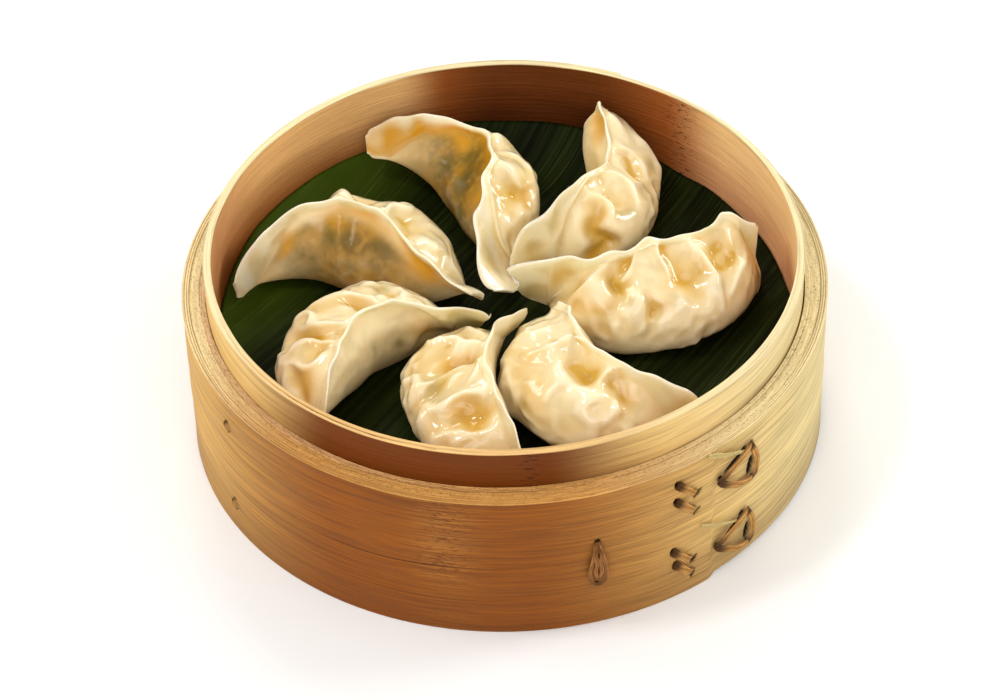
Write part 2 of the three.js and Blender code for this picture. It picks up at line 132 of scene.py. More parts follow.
# the tree that the sockets among some values are in
def treeOf(values):
    return next(value.id_data for value in values if isinstance(value, bpy.types.NodeSocket))


def calc(operation, *values):
    return made(treeOf(values), "ShaderNodeMath", dict(enumerate(values)), operation=operation)


def plus(a, b):
    return calc("ADD", a, b)


def minus(a, b):
    return calc("SUBTRACT", a, b)


def times(a, b):
    return calc("MULTIPLY", a, b)


def divided(a, b):
    return calc("DIVIDE", a, b)


def scaled(value, factor, shift):
    return calc("MULTIPLY_ADD", value, factor, shift)


def larger(a, b):
    return calc("MAXIMUM", a, b)


def squared(value):
    return calc("POWER", value, 2.0)


def distance(value, centre=0.0):
    return calc("ABSOLUTE", minus(value, centre))


def vectorCalc(operation, inputs):
    return wire(treeOf(inputs.values()), "ShaderNodeVectorMath", inputs, operation=operation).outputs


def splitVector(vector):
    return wire(vector.id_data, "ShaderNodeSeparateXYZ", {0: vector}).outputs


def remap(value, low, high, toLow=0.0, toHigh=1.0):
    inputs = {"Value": value, "From Min": low, "From Max": high, "To Min": toLow, "To Max": toHigh}
    return made(value.id_data, "ShaderNodeMapRange", inputs, interpolation_type="SMOOTHSTEP")


def blendColor(factor, a, b, mode="MIX"):
    inputs = {0: factor, 6: a, 7: b}
    tree = treeOf(inputs.values())
    return wire(tree, "ShaderNodeMix", inputs, data_type="RGBA", blend_type=mode).outputs[2]


# each layer is a share and the colour that goes over what is there
def paint(color, *layers):
    for share, over in layers:
        color = blendColor(share, color, over)
    return color


def noiseAt(vector, scale, detail=2.0, roughness=0.5, w=None):
    inputs = {"Vector": vector, "Scale": scale, "Detail": detail, "Roughness": roughness}
    if w is not None:
        inputs["W"] = w
    size = "3D" if w is None else "4D"
    return made(vector.id_data, "ShaderNodeTexNoise", inputs, noise_dimensions=size)


def packVector(x, y, z=0.0):
    return made(treeOf((x, y, z)), "ShaderNodeCombineXYZ", {0: x, 1: y, 2: z})


def nearTo(value, centre, reach):
    return remap(distance(value, centre), reach, 0.0)


def rgb(red, green, blue):  # display values to linear
    def linear(value):
        share = value / 255
        return share / 12.92 if share <= 0.04045 else ((share + 0.055) / 1.055) ** 2.4
    return (linear(red), linear(green), linear(blue), 1.0)


def newGroup(name, kind, inputs, outputs):
    tree = bpy.data.node_groups.new(name, kind)
    for socketName, socketKind, value in inputs:
        socket = tree.interface.new_socket(name=socketName, in_out="INPUT", socket_type=socketKind)
        if value is not None:
            socket.default_value = value
    for socketName, socketKind in outputs:
        tree.interface.new_socket(name=socketName, in_out="OUTPUT", socket_type=socketKind)
    return tree, tree.nodes.new("NodeGroupInput").outputs, tree.nodes.new("NodeGroupOutput").inputs


floatSocket, vectorSocket, intSocket = "NodeSocketFloat", "NodeSocketVector", "NodeSocketInt"


# a geometry tree with an input for each of some values
def newGrowth(name, values):
    kinds = {int: intSocket, float: floatSocket}
    inputs = [(key, kinds[type(value)], value) for key, value in values.items()]
    geometry = ("Geometry", "NodeSocketGeometry")
    return newGroup(name, "GeometryNodeTree", [
        (*geometry, None), *inputs, ("Finish", "NodeSocketMaterial", None)], [geometry])


# where a point is on a hoop: round it, its angle, its radius and its height

def makeHoopPlace():
    tree, given, out = newGroup("hoopPlace", "ShaderNodeTree", [("Place", vectorSocket, None)], [
        ("Round", vectorSocket), ("Angle", floatSocket), ("Radius", floatSocket), ("Height", floatSocket)])
    split = splitVector(given["Place"])
    flat = packVector(split[0], split[1])
    radius = vectorCalc("LENGTH", {0: flat})["Value"]
    aim = vectorCalc("NORMALIZE", {0: flat})[0]
    tree.links.new(vectorCalc("SCALE", {0: aim, "Scale": 100.0})[0], out["Round"])
    tree.links.new(times(calc("ARCTAN2", split[1], split[0]), 180 / math.pi), out["Angle"])
    tree.links.new(times(radius, perMetre), out["Radius"])
    tree.links.new(times(split[2], perMetre), out["Height"])
    return tree


# bamboo fibres: Along is millimetres along the strip, Across is over its width, Depth through it

def makeBambooGrain():
    tree, given, out = newGroup("bambooGrain", "ShaderNodeTree", [
        ("Along", vectorSocket, None), ("Across", floatSocket, 0.0), ("Depth", floatSocket, 0.0),
        ("Coarseness", floatSocket, 1.0)], [
        ("Fibre", floatSocket), ("Streak", floatSocket), ("Tone", floatSocket), ("Fleck", floatSocket),
        ("Relief", floatSocket)])
    along = splitVector(given["Along"])

    def layer(width, length, detail, seed):
        wide = times(given["Coarseness"], width)
        vector = packVector(divided(along[0], length), divided(along[1], length),
                            divided(given["Across"], wide))
        depth = plus(divided(given["Depth"], wide), seed)
        return noiseAt(vector, 1.0, detail, 0.55, depth)

    fibre = remap(layer(0.55, 22.0, 2.0, 3.1), 0.32, 0.68)
    streak = remap(layer(1.2, 45.0, 2.0, 11.7), 0.36, 0.64)
    tone = remap(layer(9.0, 70.0, 1.0, 23.9), 0.3, 0.7)
    fleck = remap(layer(0.45, 2.2, 1.0, 31.3), 0.56, 0.66)
    relief = plus(times(fibre, 0.6), times(streak, 0.4))
    for number, value in enumerate((fibre, streak, tone, fleck, relief)):
        tree.links.new(value, out[number])
    return tree


hoopPlace = makeHoopPlace()
bambooGrain = makeBambooGrain()


def newMaterial(name):
    material = bpy.data.materials.new(name)
    material.use_nodes = True
    tree = material.node_tree
    tree.nodes.clear()
    shader = wire(tree, "ShaderNodeBsdfPrincipled")
    wire(tree, "ShaderNodeOutputMaterial", {0: shader.outputs[0]})
    return material, shader, wire(tree, "ShaderNodeTexCoord").outputs["Object"]


def useGroup(group, inputs):
    return wire(treeOf(inputs.values()), "ShaderNodeGroup", inputs, node_tree=group).outputs


def finishWith(shader, color, roughness, relief, depth, specular=0.5):
    bump = made(shader.id_data, "ShaderNodeBump", {"Height": relief, "Distance": depth, "Strength": 1.0})
    fill(shader, {
        "Base Color": color, "Roughness": roughness, "Specular IOR Level": specular, "Normal": bump})


def readAttribute(shader, name):
    return wire(shader.id_data, "ShaderNodeAttribute", attribute_name=name).outputs["Fac"]


# bamboo finishes

# front is a painted shade and right a painted light on the outside; the hole tone is painted shade inside the
# holes
bambooTones = {
    "front": rgb(142, 78, 16), "side": rgb(216, 168, 88), "right": rgb(216, 195, 136),
    "line": rgb(106, 54, 14), "dark": rgb(50, 22, 8), "hole": rgb(24, 9, 6), "speck": rgb(140, 88, 44),
    "ledge": rgb(206, 150, 78), "paleLedge": rgb(236, 216, 164), "innerPly": rgb(205, 160, 118),
    "ring": rgb(214, 172, 112), "slat": rgb(206, 160, 98), "paleSlat": rgb(226, 192, 132),
}
plies = {"outer": (99.2, 98.45), "packing": 94.6, "rim": 91.35}  # radii where the layers of a strip meet


def hoopBasics(place, coarseness=1.0):
    spot = useGroup(hoopPlace, {"Place": place})
    across = plus(spot["Height"], spot["Radius"])
    grain = useGroup(bambooGrain, {
        "Along": spot["Round"], "Across": across, "Depth": spot["Radius"], "Coarseness": coarseness})
    return spot, grain


# share of the right, where light is painted: it rises from one angle to another there and falls again behind
def litRightShare(angle, start, full):
    return times(remap(angle, start, full), remap(angle, 130.0, 30.0))


# share of the front, a little to its left: 1 there, 0 by the hoop's sides and back
def frontShare(angle, reach=64.0, full=22.0):
    return remap(distance(angle, -104.0), reach, full)


def grainColor(grain, base, lineStrength=0.5, fineStrength=0.22):
    lines = times(calc("POWER", grain["Streak"], 3.0), lineStrength)
    fine = scaled(grain["Fibre"], fineStrength, 1.0 - fineStrength / 2)
    toned = times(fine, scaled(grain["Tone"], 0.1, 0.95))
    color = blendColor(lines, base, bambooTones["line"])
    return blendColor(1.0, color, packVector(toned, toned, toned), "MULTIPLY")


def makeOuterBamboo():
    material, shader, place = newMaterial("outerBamboo")
    spot, grain = hoopBasics(place)
    angle, radius, height = spot["Angle"], spot["Radius"], spot["Height"]
    tones = bambooTones
    # painted light and shade: paler on the right, where light falls, and darker at the front, which is in
    # shade
    face = paint(tones["side"], (litRightShare(angle, -80.0, -20.0), tones["right"]),
                 (frontShare(angle, 60.0, 16.0), tones["front"]))
    # a joint of the cane: paler, with short dark dashes
    joint = times(nearTo(angle, -101.5, 9.0), remap(height, 14.0, 30.0, 0.25, 1.0))
    dashes = times(grain["Fleck"], joint)
    # one long fine split
    splitLine = minus(height, scaled(angle, 0.035, 30.3))
    split = times(nearTo(splitLine, 0.0, 0.42), nearTo(angle, -108.0, 36.0))
    # over the grain: painted shade towards the bottom, then the joint, its dashes and the split
    color = paint(grainColor(grain, face, 0.3, 0.36),
                  (remap(height, 24.0, 0.0, 0.0, 0.38), tones["line"]),
                  (times(joint, times(grain["Fibre"], 0.3)), tones["ledge"]),
                  (times(dashes, 0.75), tones["line"]), (times(split, 0.75), tones["dark"]))
    # the sawn top edge with the ends of its plies
    front = frontShare(angle)
    edge = grainColor(grain, blendColor(front, tones["paleLedge"], tones["ledge"]), 0.2)
    pores = remap(noiseAt(place, 1500.0, 2.0, 0.6), 0.56, 0.7, 0.0, 0.4)
    plyLines = (nearTo(radius, at, reach) for at, reach in zip(plies["outer"], (0.22, 0.16)))
    plyLine = times(larger(*plyLines), scaled(front, -0.5, 0.7))
    edge = paint(edge, (pores, tones["speck"]), (plyLine, tones["line"]))
    # painted shade: the holes are dark inside
    color = paint(color, (remap(height, 53.45, 53.8), edge),
                  (readAttribute(shader, "hole"), tones["hole"]))
    relief = minus(grain["Relief"], plus(split, dashes))
    finishWith(shader, color, remap(grain["Fibre"], 0.0, 1.0, 0.5, 0.64), relief, 0.00012, 0.16)
    return material


def makePackingBamboo():
    material, shader, place = newMaterial("packingBamboo")
    spot, grain = hoopBasics(place, 1.2)
    angle, radius = spot["Angle"], spot["Radius"]
    tones = bambooTones
    # the inner ply is browner, most of all on the left
    leftward = remap(distance(angle), 60.0, 150.0)
    inner = times(remap(radius, 94.9, 94.3), leftward)
    base = paint(tones["paleLedge"], (frontShare(angle), tones["ledge"]),
                 (times(inner, 0.6), tones["innerPly"]))
    pores = remap(noiseAt(place, 1300.0, 2.0, 0.6), 0.55, 0.7)
    specks = times(larger(pores, times(inner, grain["Fleck"])), 0.45)
    plyLine = times(nearTo(radius, plies["packing"], 0.2), remap(grain["Streak"], 0.1, 0.6))
    color = paint(grainColor(grain, base, 0.14), (specks, tones["speck"]),
                  (times(plyLine, 0.7), tones["line"]))
    finishWith(shader, color, 0.72, minus(grain["Relief"], specks), 0.00025, 0.25)
    return material


# painted light and shade: front is a painted shade on the outside; inside, the tones by angle and height are
# painted light and shade, dark at the back and low down
rimTones = {
    "side": rgb(240, 200, 126), "right": rgb(224, 205, 152), "front": rgb(112, 54, 8),
    "rightUpper": rgb(246, 202, 140), "sideUpper": rgb(228, 180, 118), "leftUpper": rgb(210, 152, 100),
    "rightLower": rgb(234, 170, 120), "leftLower": rgb(152, 88, 36), "warmShade": rgb(168, 92, 38),
    "backUpper": rgb(104, 52, 14), "backLower": rgb(76, 32, 6),
    "edge": rgb(236, 218, 168), "frontEdge": rgb(226, 184, 120),
}


def makeRimBamboo():
    material, shader, place = newMaterial("rimBamboo")
    spot, grain = hoopBasics(place)
    angle, radius, height = spot["Angle"], spot["Radius"], spot["Height"]
    tones = rimTones
    # outside, above the ledge: paler on the right, a painted light, and darker at the front, a painted shade
    outside = paint(tones["side"], (litRightShare(angle, -70.0, -30.0), tones["right"]),
                    (frontShare(angle, 46.0, 20.0), tones["front"]))
    # inside: pinkish tan at the sides, with painted light and shade by angle and height: paler above, painted
    # shade lower down, a warm painted half-shade beside the back, and painted shade dark at the back
    back = times(remap(angle, 112.0, 90.0), remap(angle, 44.0, 72.0))
    warmShade = times(remap(angle, 112.0, 100.0), remap(angle, 36.0, 54.0))
    drop = remap(plus(height, times(grain["Tone"], 2.0)), 65.0, 38.0)
    turned = distance(angle)
    upper = paint(tones["rightUpper"], (remap(turned, 60.0, 125.0), tones["sideUpper"]),
                  (remap(turned, 145.0, 175.0), tones["leftUpper"]))
    lower = blendColor(remap(turned, 80.0, 125.0), tones["rightLower"], tones["leftLower"])
    dark = blendColor(drop, tones["backUpper"], tones["backLower"])
    inside = paint(upper, (drop, lower), (warmShade, tones["warmShade"]), (back, dark))
    inner = remap(radius, 91.3, 90.5)
    outer = minus(1.0, inner)
    base = blendColor(inner, outside, inside)
    # joints of the cane: one on the outside at the front, with a dark dot, and one inside at the back
    frontJoint = times(nearTo(angle, -86.5, 3.5), outer)
    backJoint = times(nearTo(angle, 49.4, 6.0), inner)
    dashes = times(grain["Fleck"], larger(frontJoint, backJoint))
    dot = times(nearTo(angle, -85.6, 0.28), nearTo(height, 60.1, 0.5))
    edge = blendColor(frontShare(angle), tones["edge"], tones["frontEdge"])
    color = paint(grainColor(grain, base, scaled(inner, -0.2, 0.26), 0.16),
                  (times(dashes, 0.8), bambooTones["dark"]),
                  (times(dot, outer), bambooTones["dark"]),
                  (remap(height, 66.2, 66.6), grainColor(grain, edge, 0.25)))
    roughness = remap(grain["Fibre"], 0.0, 1.0, 0.45, 0.6)
    finishWith(shader, color, roughness, minus(grain["Relief"], dashes), 0.0001, 0.18)
    return material


def makeFloorRingBamboo():
    material, shader, place = newMaterial("floorRingBamboo")
    _, grain = hoopBasics(place, 1.1)
    finishWith(shader, grainColor(grain, bambooTones["ring"]), 0.68, grain["Relief"], 0.0002)
    return material


# slats and bars are straight canes: the grain runs along X, axis 0, or along Y, axis 1
def makeSlatBamboo(name, alongAxis):
    material, shader, place = newMaterial(name)
    sides = [times(side, perMetre) for side in splitVector(place)]
    grain = useGroup(bambooGrain, {
        "Along": packVector(sides[alongAxis], 0.0), "Across": sides[1 - alongAxis], "Depth": sides[2],
        "Coarseness": 1.2})
    base = blendColor(grain["Tone"], bambooTones["slat"], bambooTones["paleSlat"])
    finishWith(shader, grainColor(grain, base, 0.55), 0.62, grain["Relief"], 0.0002)
    return material


outerBamboo = makeOuterBamboo()
packingBamboo = makePackingBamboo()
rimBamboo = makeRimBamboo()
floorRingBamboo = makeFloorRingBamboo()
slatBamboo = makeSlatBamboo("slatBamboo", 0)
barBamboo = makeSlatBamboo("barBamboo", 1)
print("bamboo finishes ready")


# mesh helpers

def ease(x):
    t = np.clip(x, 0.0, 1.0)
    return t * t * (3 - 2 * t)


def turnedFrom(angle, start):
    return np.mod(angle - start, 360.0)


# a smooth random field: waves of about one length, from random sides
def waves(points, length, seed):
    count = 14
    draw = np.random.default_rng(seed)
    aims = draw.normal(size=(count, 3))
    aims /= np.linalg.norm(aims, axis=1, keepdims=True)
    rates = 2 * np.pi / (length * draw.uniform(0.75, 1.35, count))
    phases = draw.uniform(0, 2 * np.pi, count)
    return np.sin(points @ (aims * rates[:, None]).T + phases).sum(-1) / math.sqrt(count / 2)


def gridQuads(rows, columns, closeRows=False):
    i = np.arange(rows if closeRows else rows - 1)[:, None]
    j = np.arange(columns)[None, :]
    a = i * columns + j
    b = ((i + 1) % rows) * columns + j
    c = ((i + 1) % rows) * columns + (j + 1) % columns
    d = i * columns + (j + 1) % columns
    return np.stack([a, b, c, d], -1).reshape(-1, 4)


def signedVolume(points, quads):
    a, b, c, d = (points[quads[:, k]] for k in range(4))
    return (np.einsum("ij,ij->i", a, np.cross(b, c)) + np.einsum("ij,ij->i", a, np.cross(c, d))).sum()


def facingOut(points, quads):
    return quads[:, ::-1] if signedVolume(points, quads) < 0 else quads


# a depth of wear: a level and waves on it, each with its height, length and seed
def worn(points, level, *layers):
    depth = level
    for height, length, seed in layers:
        depth = depth + height * waves(points, length, seed)
    return depth


def addPiece(name, points, faces, finish, nodes, attributes=None):
    mesh = bpy.data.meshes.new(name)
    mesh.from_pydata(points * mm, [], faces)
    for key, values in (attributes or {}).items():
        layer = mesh.attributes.new(key, "FLOAT", "POINT")
        layer.data.foreach_set("value", np.ascontiguousarray(values, dtype=np.float32).ravel())
    mesh.materials.append(finish)
    mesh.shade_smooth()
    mesh.validate()
    mesh.update()
    piece = bpy.data.objects.new(name, mesh)
    scene.collection.objects.link(piece)
    keepPiece(piece, nodes)


def keepPiece(piece, nodes):
    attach(piece, "root")
    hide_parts(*nodes)


# hoops

# one loop of a strip's section: shares across and up, with the corners' offsets in millimetres
def stripLoop(outsideRows, topRows, insideRows, corner):
    across, up, shiftAcross, shiftUp = [], [], [], []

    def add(a, b, da, db):
        across.append(a)
        up.append(b)
        shiftAcross.append(da)
        shiftUp.append(db)

    def edge(a0, b0, a1, b1, rows):
        for t in np.linspace(0, 1, rows):
            along = (a1 - a0, b1 - b0)
            inset = corner * (1 - 2 * t)
            add(a0 + along[0] * t, b0 + along[1] * t, along[0] * inset, along[1] * inset)

    def bend(a, b, sa, sb, first, last):
        for turn in np.radians(np.linspace(first, last, 5)[1:-1]):
            add(a, b, sa * corner + corner * math.cos(turn), sb * corner + corner * math.sin(turn))

    edge(1, 0, 1, 1, outsideRows)
    bend(1, 1, -1, -1, 0, 90)
    edge(1, 1, 0, 1, topRows)
    bend(0, 1, 1, -1, 90, 180)
    edge(0, 1, 0, 0, insideRows)
    bend(0, 0, 1, 1, 180, 270)
    edge(0, 0, 1, 0, 4)
    bend(1, 0, -1, 1, 270, 360)
    return tuple(np.array(part)[None, :] for part in (across, up, shiftAcross, shiftUp))


def hoopCloud(angles, radius, height):
    turn = np.radians(angles)[:, None]
    return np.stack([radius * np.cos(turn), radius * np.sin(turn), height], -1)


def stepped(parts):
    return np.concatenate([np.arange(*part) for part in parts])


# a plain hoop by its sizes, apart from those that are given for each angle
def startHoop(sizes, angles, **bent):
    across, up, shiftAcross, shiftUp = stripLoop(*sizes["rows"], sizes["edge"])
    limits = (bent.get(key, sizes[key]) for key in ("inside", "outside", "bottom", "top"))
    inside, outside, bottom, top = (np.broadcast_to(limit, angles.shape)[:, None] for limit in limits)
    radius = inside + (outside - inside) * across + shiftAcross
    height = bottom + (top - bottom) * up + shiftUp
    flat = {"outer": (across == 1) & (shiftAcross == 0), "inner": (across == 0) & (shiftAcross == 0),
            "sawn": (up == 1) & (shiftUp == 0), "outside": across == 1, "over": up == 1, "under": up == 0}
    return radius, height, hoopCloud(angles, radius, height), flat


def plyGap(radius, at, halfWidth):
    return np.exp(-((radius - at) / halfWidth) ** 2)


def bendHoop(name, angles, radius, height, finish, nodes, attributes=None):
    points = hoopCloud(angles, radius, height).reshape(-1, 3)
    quads = facingOut(points, gridQuads(len(angles), radius.shape[1], closeRows=True))
    addPiece(name, points, quads, finish, nodes, attributes)


outerBand = {
    "inside": 97.8, "outside": 100.0, "bottom": 0.0, "top": 54.0, "edge": 0.35, "rows": (120, 18, 6),
    # the free end of the strip: its angle, where it stands higher and further in, and over how many degrees
    "endAngle": -53.0, "endDrop": 1.3, "dropOver": 150, "endInset": 0.5, "insetOver": 40, "endBlend": 0.9,
    "steps": [(-180, -150, 0.9), (-150, -145, 0.25), (-145, -79, 0.75), (-79, -72, 0.25), (-72, -64, 0.5),
              (-64, -40, 0.25), (-40, 180, 0.9)],
    "plyWidth": 0.14, "plyDepth": 0.22, "grain": (1, 1, 2.2),
    "faceWear": (0.12, (0.08, 26, 5)), "sawnWear": (0.1, (0.07, 5, 8), (0.05, 1.8, 9)),
    # holes where strands go in, and slots beside the diagonal strands, painted dark as shade: angle, height,
    # half width and half height in millimetres, tilt, depth
    "holes": [
        (-43.9, 45.4, 0.7, 1.9, 10, 1.3), (-45.9, 45.7, 1.3, 1.2, 30, 1.4), (-48.2, 43.1, 4.9, 1.25, 32, 1.4),
        (-51.4, 39.9, 0.9, 0.9, 0, 1.0), (-44.2, 37.0, 1.25, 3.7, -10, 1.4), (-43.7, 32.4, 0.6, 0.8, 0, 1.0),
        (-45.8, 18.4, 1.2, 1.2, 30, 1.3), (-48.1, 15.2, 4.6, 1.05, 33, 1.4), (-52.0, 12.3, 0.9, 0.8, 0, 1.0),
        (-44.5, 9.7, 1.05, 3.3, -8, 1.4), (-44.4, 5.6, 0.5, 0.7, 0, 0.8),
        (-60.9, 46.9, 0.8, 1.6, 0, 1.2), (-56.6, 39.7, 0.75, 2.1, -45, 1.6),
        (-61.1, 40.4, 0.9, 1.5, 0, 1.2), (-56.7, 32.4, 0.65, 1.8, -45, 1.5),
        (-61.6, 19.7, 0.8, 1.6, 0, 1.1), (-57.2, 12.5, 0.7, 1.9, -40, 1.5),
        (-61.1, 13.8, 0.7, 1.4, 0, 1.1), (-57.3, 6.8, 0.65, 1.9, -20, 1.5),
        (-75.6, 34.4, 0.9, 0.9, 0, 1.3), (-75.7, 24.6, 0.7, 4.6, 0, 0.9), (-75.9, 17.0, 0.9, 0.6, 0, 0.9),
        (-147.9, 45.6, 0.8, 0.5, 0, 0.8), (-147.9, 12.9, 0.8, 0.5, 0, 0.8),
    ],
}


def makeOuterBand(sizes):
    angles = stepped(sizes["steps"])
    since = turnedFrom(angles, sizes["endAngle"])
    begun = ease((angles - sizes["endAngle"] + sizes["endBlend"]) / (2 * sizes["endBlend"]))
    since = np.where(np.abs(angles - sizes["endAngle"]) <= sizes["endBlend"], 0.0, since)
    begun = np.where((since > 0) & (angles < sizes["endAngle"]), 1.0, begun)
    bottom = sizes["endDrop"] * (1 - ease(since / sizes["dropOver"])) * begun
    outside = sizes["outside"] - sizes["endInset"] * (1 - ease(since / sizes["insetOver"])) * begun
    radius, height, cloud, flat = startHoop(sizes, angles, outside=outside, bottom=bottom)
    radius = radius - flat["outer"] * np.maximum(worn(cloud * sizes["grain"], *sizes["faceWear"]), 0)
    height = height - flat["sawn"] * worn(cloud, *sizes["sawnWear"])
    groove = sum(plyGap(radius, at, sizes["plyWidth"]) for at in plies["outer"])
    height = height - flat["sawn"] * sizes["plyDepth"] * groove
    # painted shade: a mask that darkens the holes and slots inside
    hole = np.zeros_like(radius)
    for at, level, halfWidth, halfHeight, tilt, depth in sizes["holes"]:
        x = np.radians(angles - at)[:, None] * 100
        y = height - level
        tilted = math.radians(tilt)
        u = (x * math.cos(tilted) + y * math.sin(tilted)) / halfWidth
        v = (-x * math.sin(tilted) + y * math.cos(tilted)) / halfHeight
        away = np.sqrt(u * u + v * v)
        radius = radius - depth * ease(1.25 - away) * flat["outside"]
        hole = np.maximum(hole, ease((1.2 - away) / 0.4) * flat["outside"])
    bendHoop("outerBand", angles, radius, height, outerBamboo, ["outer_hoop"], {"hole": hole})


packingBand = {
    "inside": 92.8, "outside": 97.5, "bottom": 2.6, "top": 53.8, "edge": 0.25, "rows": (6, 36, 6),
    # the slot beside the inner hoop is open on the right and nearly closed elsewhere
    "closed": 0.22, "opened": 0.55, "openAngle": -32, "openReach": 48, "swell": 0.18,
    "plyWidth": 0.15, "plyDepth": 0.3, "plyShown": (0.5, (0.5, 60, 14)),
    "sawnWear": (0.12, (0.08, 9, 12), (0.07, 2.2, 13)),
}


def makePackingBand(sizes):
    angles = np.arange(-180, 180, 0.5)
    openSlot = ease(1 - np.abs(angles - sizes["openAngle"]) / sizes["openReach"])
    inside = sizes["inside"] - sizes["closed"] + sizes["opened"] * openSlot
    outside = sizes["outside"] + sizes["swell"]
    radius, height, cloud, flat = startHoop(sizes, angles, inside=inside, outside=outside)
    wear = worn(cloud, *sizes["sawnWear"])
    ply = plyGap(radius, plies["packing"], sizes["plyWidth"]) * ease(worn(cloud, *sizes["plyShown"]))
    height = height - flat["sawn"] * (wear + sizes["plyDepth"] * ply)
    bendHoop("packingBand", angles, radius, height, packingBamboo, ["packing_hoop"])


rimBand = {
    "inside": 90.0, "outside": 92.5, "bottom": 13.4, "top": 66.8, "edge": 0.3, "rows": (56, 22, 56),
    "steps": [(-180, 58, 0.72), (58, 70, 0.3), (70, 180, 0.72)],
    # its lap: the strip thins toward its end, and steps out again at its start
    "endAngle": 64.0, "step": 1.1, "thinOver": 65.0,
    "plyWidth": 0.16, "plyDepth": 0.9, "plyAngle": -128, "plyReach": 32, "grain": (1, 1, 2),
    "outerWear": (0.06, (0.05, 22, 15)), "innerWear": (0.06, (0.06, 24, 16)),
    "sawnWear": (0.1, (0.06, 6, 17), (0.03, 1.6, 18)),
}


def makeRimBand(sizes):
    angles = stepped(sizes["steps"])
    since = turnedFrom(angles, sizes["endAngle"])
    thin = ease((since - (360 - sizes["thinOver"])) / sizes["thinOver"])
    radius, height, cloud, flat = startHoop(sizes, angles, outside=sizes["outside"] - sizes["step"] * thin)
    radius = radius - flat["outer"] * worn(cloud * sizes["grain"], *sizes["outerWear"])
    radius = radius + flat["inner"] * worn(cloud * sizes["grain"], *sizes["innerWear"])
    split = ease(1 - np.abs(angles[:, None] - sizes["plyAngle"]) / sizes["plyReach"])
    ply = plyGap(radius, plies["rim"], sizes["plyWidth"]) * split
    wear = np.maximum(worn(cloud, *sizes["sawnWear"]), 0)
    height = height - flat["sawn"] * (wear + sizes["plyDepth"] * ply)
    bendHoop("rimBand", angles, radius, height, rimBamboo, ["inner_hoop"])


floorRing = {
    "inside": 86.5, "outside": 89.7, "bottom": 13.4, "top": 23.5, "edge": 0.4, "rows": (14, 6, 14),
    "wear": (1, (0.6, 8, 19)), "wearDepth": 0.1,
}


def makeFloorRing(sizes):
    angles = np.arange(-180, 180, 1.0)
    radius, height, cloud, flat = startHoop(sizes, angles)
    inward = flat["under"] * -sizes["wearDepth"] + flat["over"] * sizes["wearDepth"]
    height = height - inward * worn(cloud, *sizes["wear"])
    bendHoop("floorRing", angles, radius, height, floorRingBamboo, ["floor_ring"])


makeOuterBand(outerBand)
makePackingBand(packingBand)
makeRimBand(rimBand)
makeFloorRing(floorRing)
print("hoops bent")


# floor of slats on cross bars, by geometry nodes

# noise moves a surface, by up to half the distance each way
def roughen(geometry, scale, detail, seed, reach):
    tree = geometry.id_data
    place = made(tree, "GeometryNodeInputPosition")
    ripple = wire(tree, "ShaderNodeTexNoise", {
        "Vector": place, "Scale": scale, "Detail": detail, "W": seed}, noise_dimensions="4D").outputs["Color"]
    centred = vectorCalc("SUBTRACT", {0: ripple, 1: (0.5, 0.5, 0.5)})[0]
    drift = vectorCalc("SCALE", {0: centred, "Scale": reach})[0]
    return made(tree, "GeometryNodeSetPosition", {"Geometry": geometry, "Offset": drift})


def dressAs(out, geometry, finish):
    tree = geometry.id_data
    real = made(tree, "GeometryNodeRealizeInstances", {0: geometry})
    dressed = made(tree, "GeometryNodeSetMaterial", {"Geometry": real, "Material": finish})
    tree.links.new(dressed, out["Geometry"])


def makeCaneFloorTree(sizes):
    tree, given, out = newGrowth("caneFloor", sizes)
    half = times(minus(given["Count"], 1.0), -0.5)
    row = made(tree, "GeometryNodeMeshLine", {
        "Count": given["Count"], "Offset": packVector(0.0, given["Pitch"]),
        "Start Location": packVector(0.0, times(half, given["Pitch"]), given["Level"])})
    # a cane ends where its corners meet the hoop
    offset = splitVector(made(tree, "GeometryNodeInputPosition"))[1]
    edge = scaled(given["Width"], 0.5, distance(offset))
    rest = minus(squared(given["Reach"]), squared(edge))
    length = times(calc("SQRT", rest), 2.0)
    line = made(tree, "GeometryNodeCurvePrimitiveLine", {"Start": (-0.5, 0, 0), "End": (0.5, 0, 0)})
    canes = made(tree, "GeometryNodeInstanceOnPoints", {
        "Points": row, "Instance": line, "Scale": packVector(length, 1.0, 1.0)})
    laid = made(tree, "GeometryNodeRealizeInstances", {0: canes})
    fine = made(tree, "GeometryNodeResampleCurve", {"Curve": laid, "Count": 40})
    section = made(tree, "GeometryNodeCurvePrimitiveQuadrilateral", {
        "Width": given["Width"], "Height": given["Thickness"]})
    soft = made(tree, "GeometryNodeFilletCurve", {
        "Curve": section, "Count": 3, "Radius": given["Corner"]}, mode="POLY")
    body = made(tree, "GeometryNodeCurveToMesh", {"Curve": fine, "Profile Curve": soft, "Fill Caps": True})
    moved = roughen(body, 60.0, 1.0, given["Seed"], given["Wander"])
    turned = made(tree, "GeometryNodeTransform", {
        "Geometry": moved, "Rotation": packVector(0.0, 0.0, given["Turn"])})
    dressAs(out, turned, given["Finish"])
    return tree


# runs a tree on a start mesh and keeps the result as a plain piece
def growPiece(name, tree, values, nodes, points=(), edges=()):
    start = bpy.data.meshes.new(name + "Start")
    start.from_pydata([tuple(p) for p in points], list(edges), [])
    host = bpy.data.objects.new(name + "Start", start)
    scene.collection.objects.link(host)
    modifier = host.modifiers.new(name, "NODES")
    modifier.node_group = tree
    for item in tree.interface.items_tree:
        if item.item_type == "SOCKET" and item.in_out == "INPUT" and item.name in values:
            modifier[item.identifier] = values[item.name]
    graph = bpy.context.evaluated_depsgraph_get()
    grown = host.evaluated_get(graph)
    mesh = bpy.data.meshes.new_from_object(grown, preserve_all_data_layers=True, depsgraph=graph)
    host.modifiers.remove(modifier)
    bpy.data.objects.remove(host)
    mesh.name = name
    mesh.validate()
    piece = bpy.data.objects.new(name, mesh)
    scene.collection.objects.link(piece)
    keepPiece(piece, nodes)


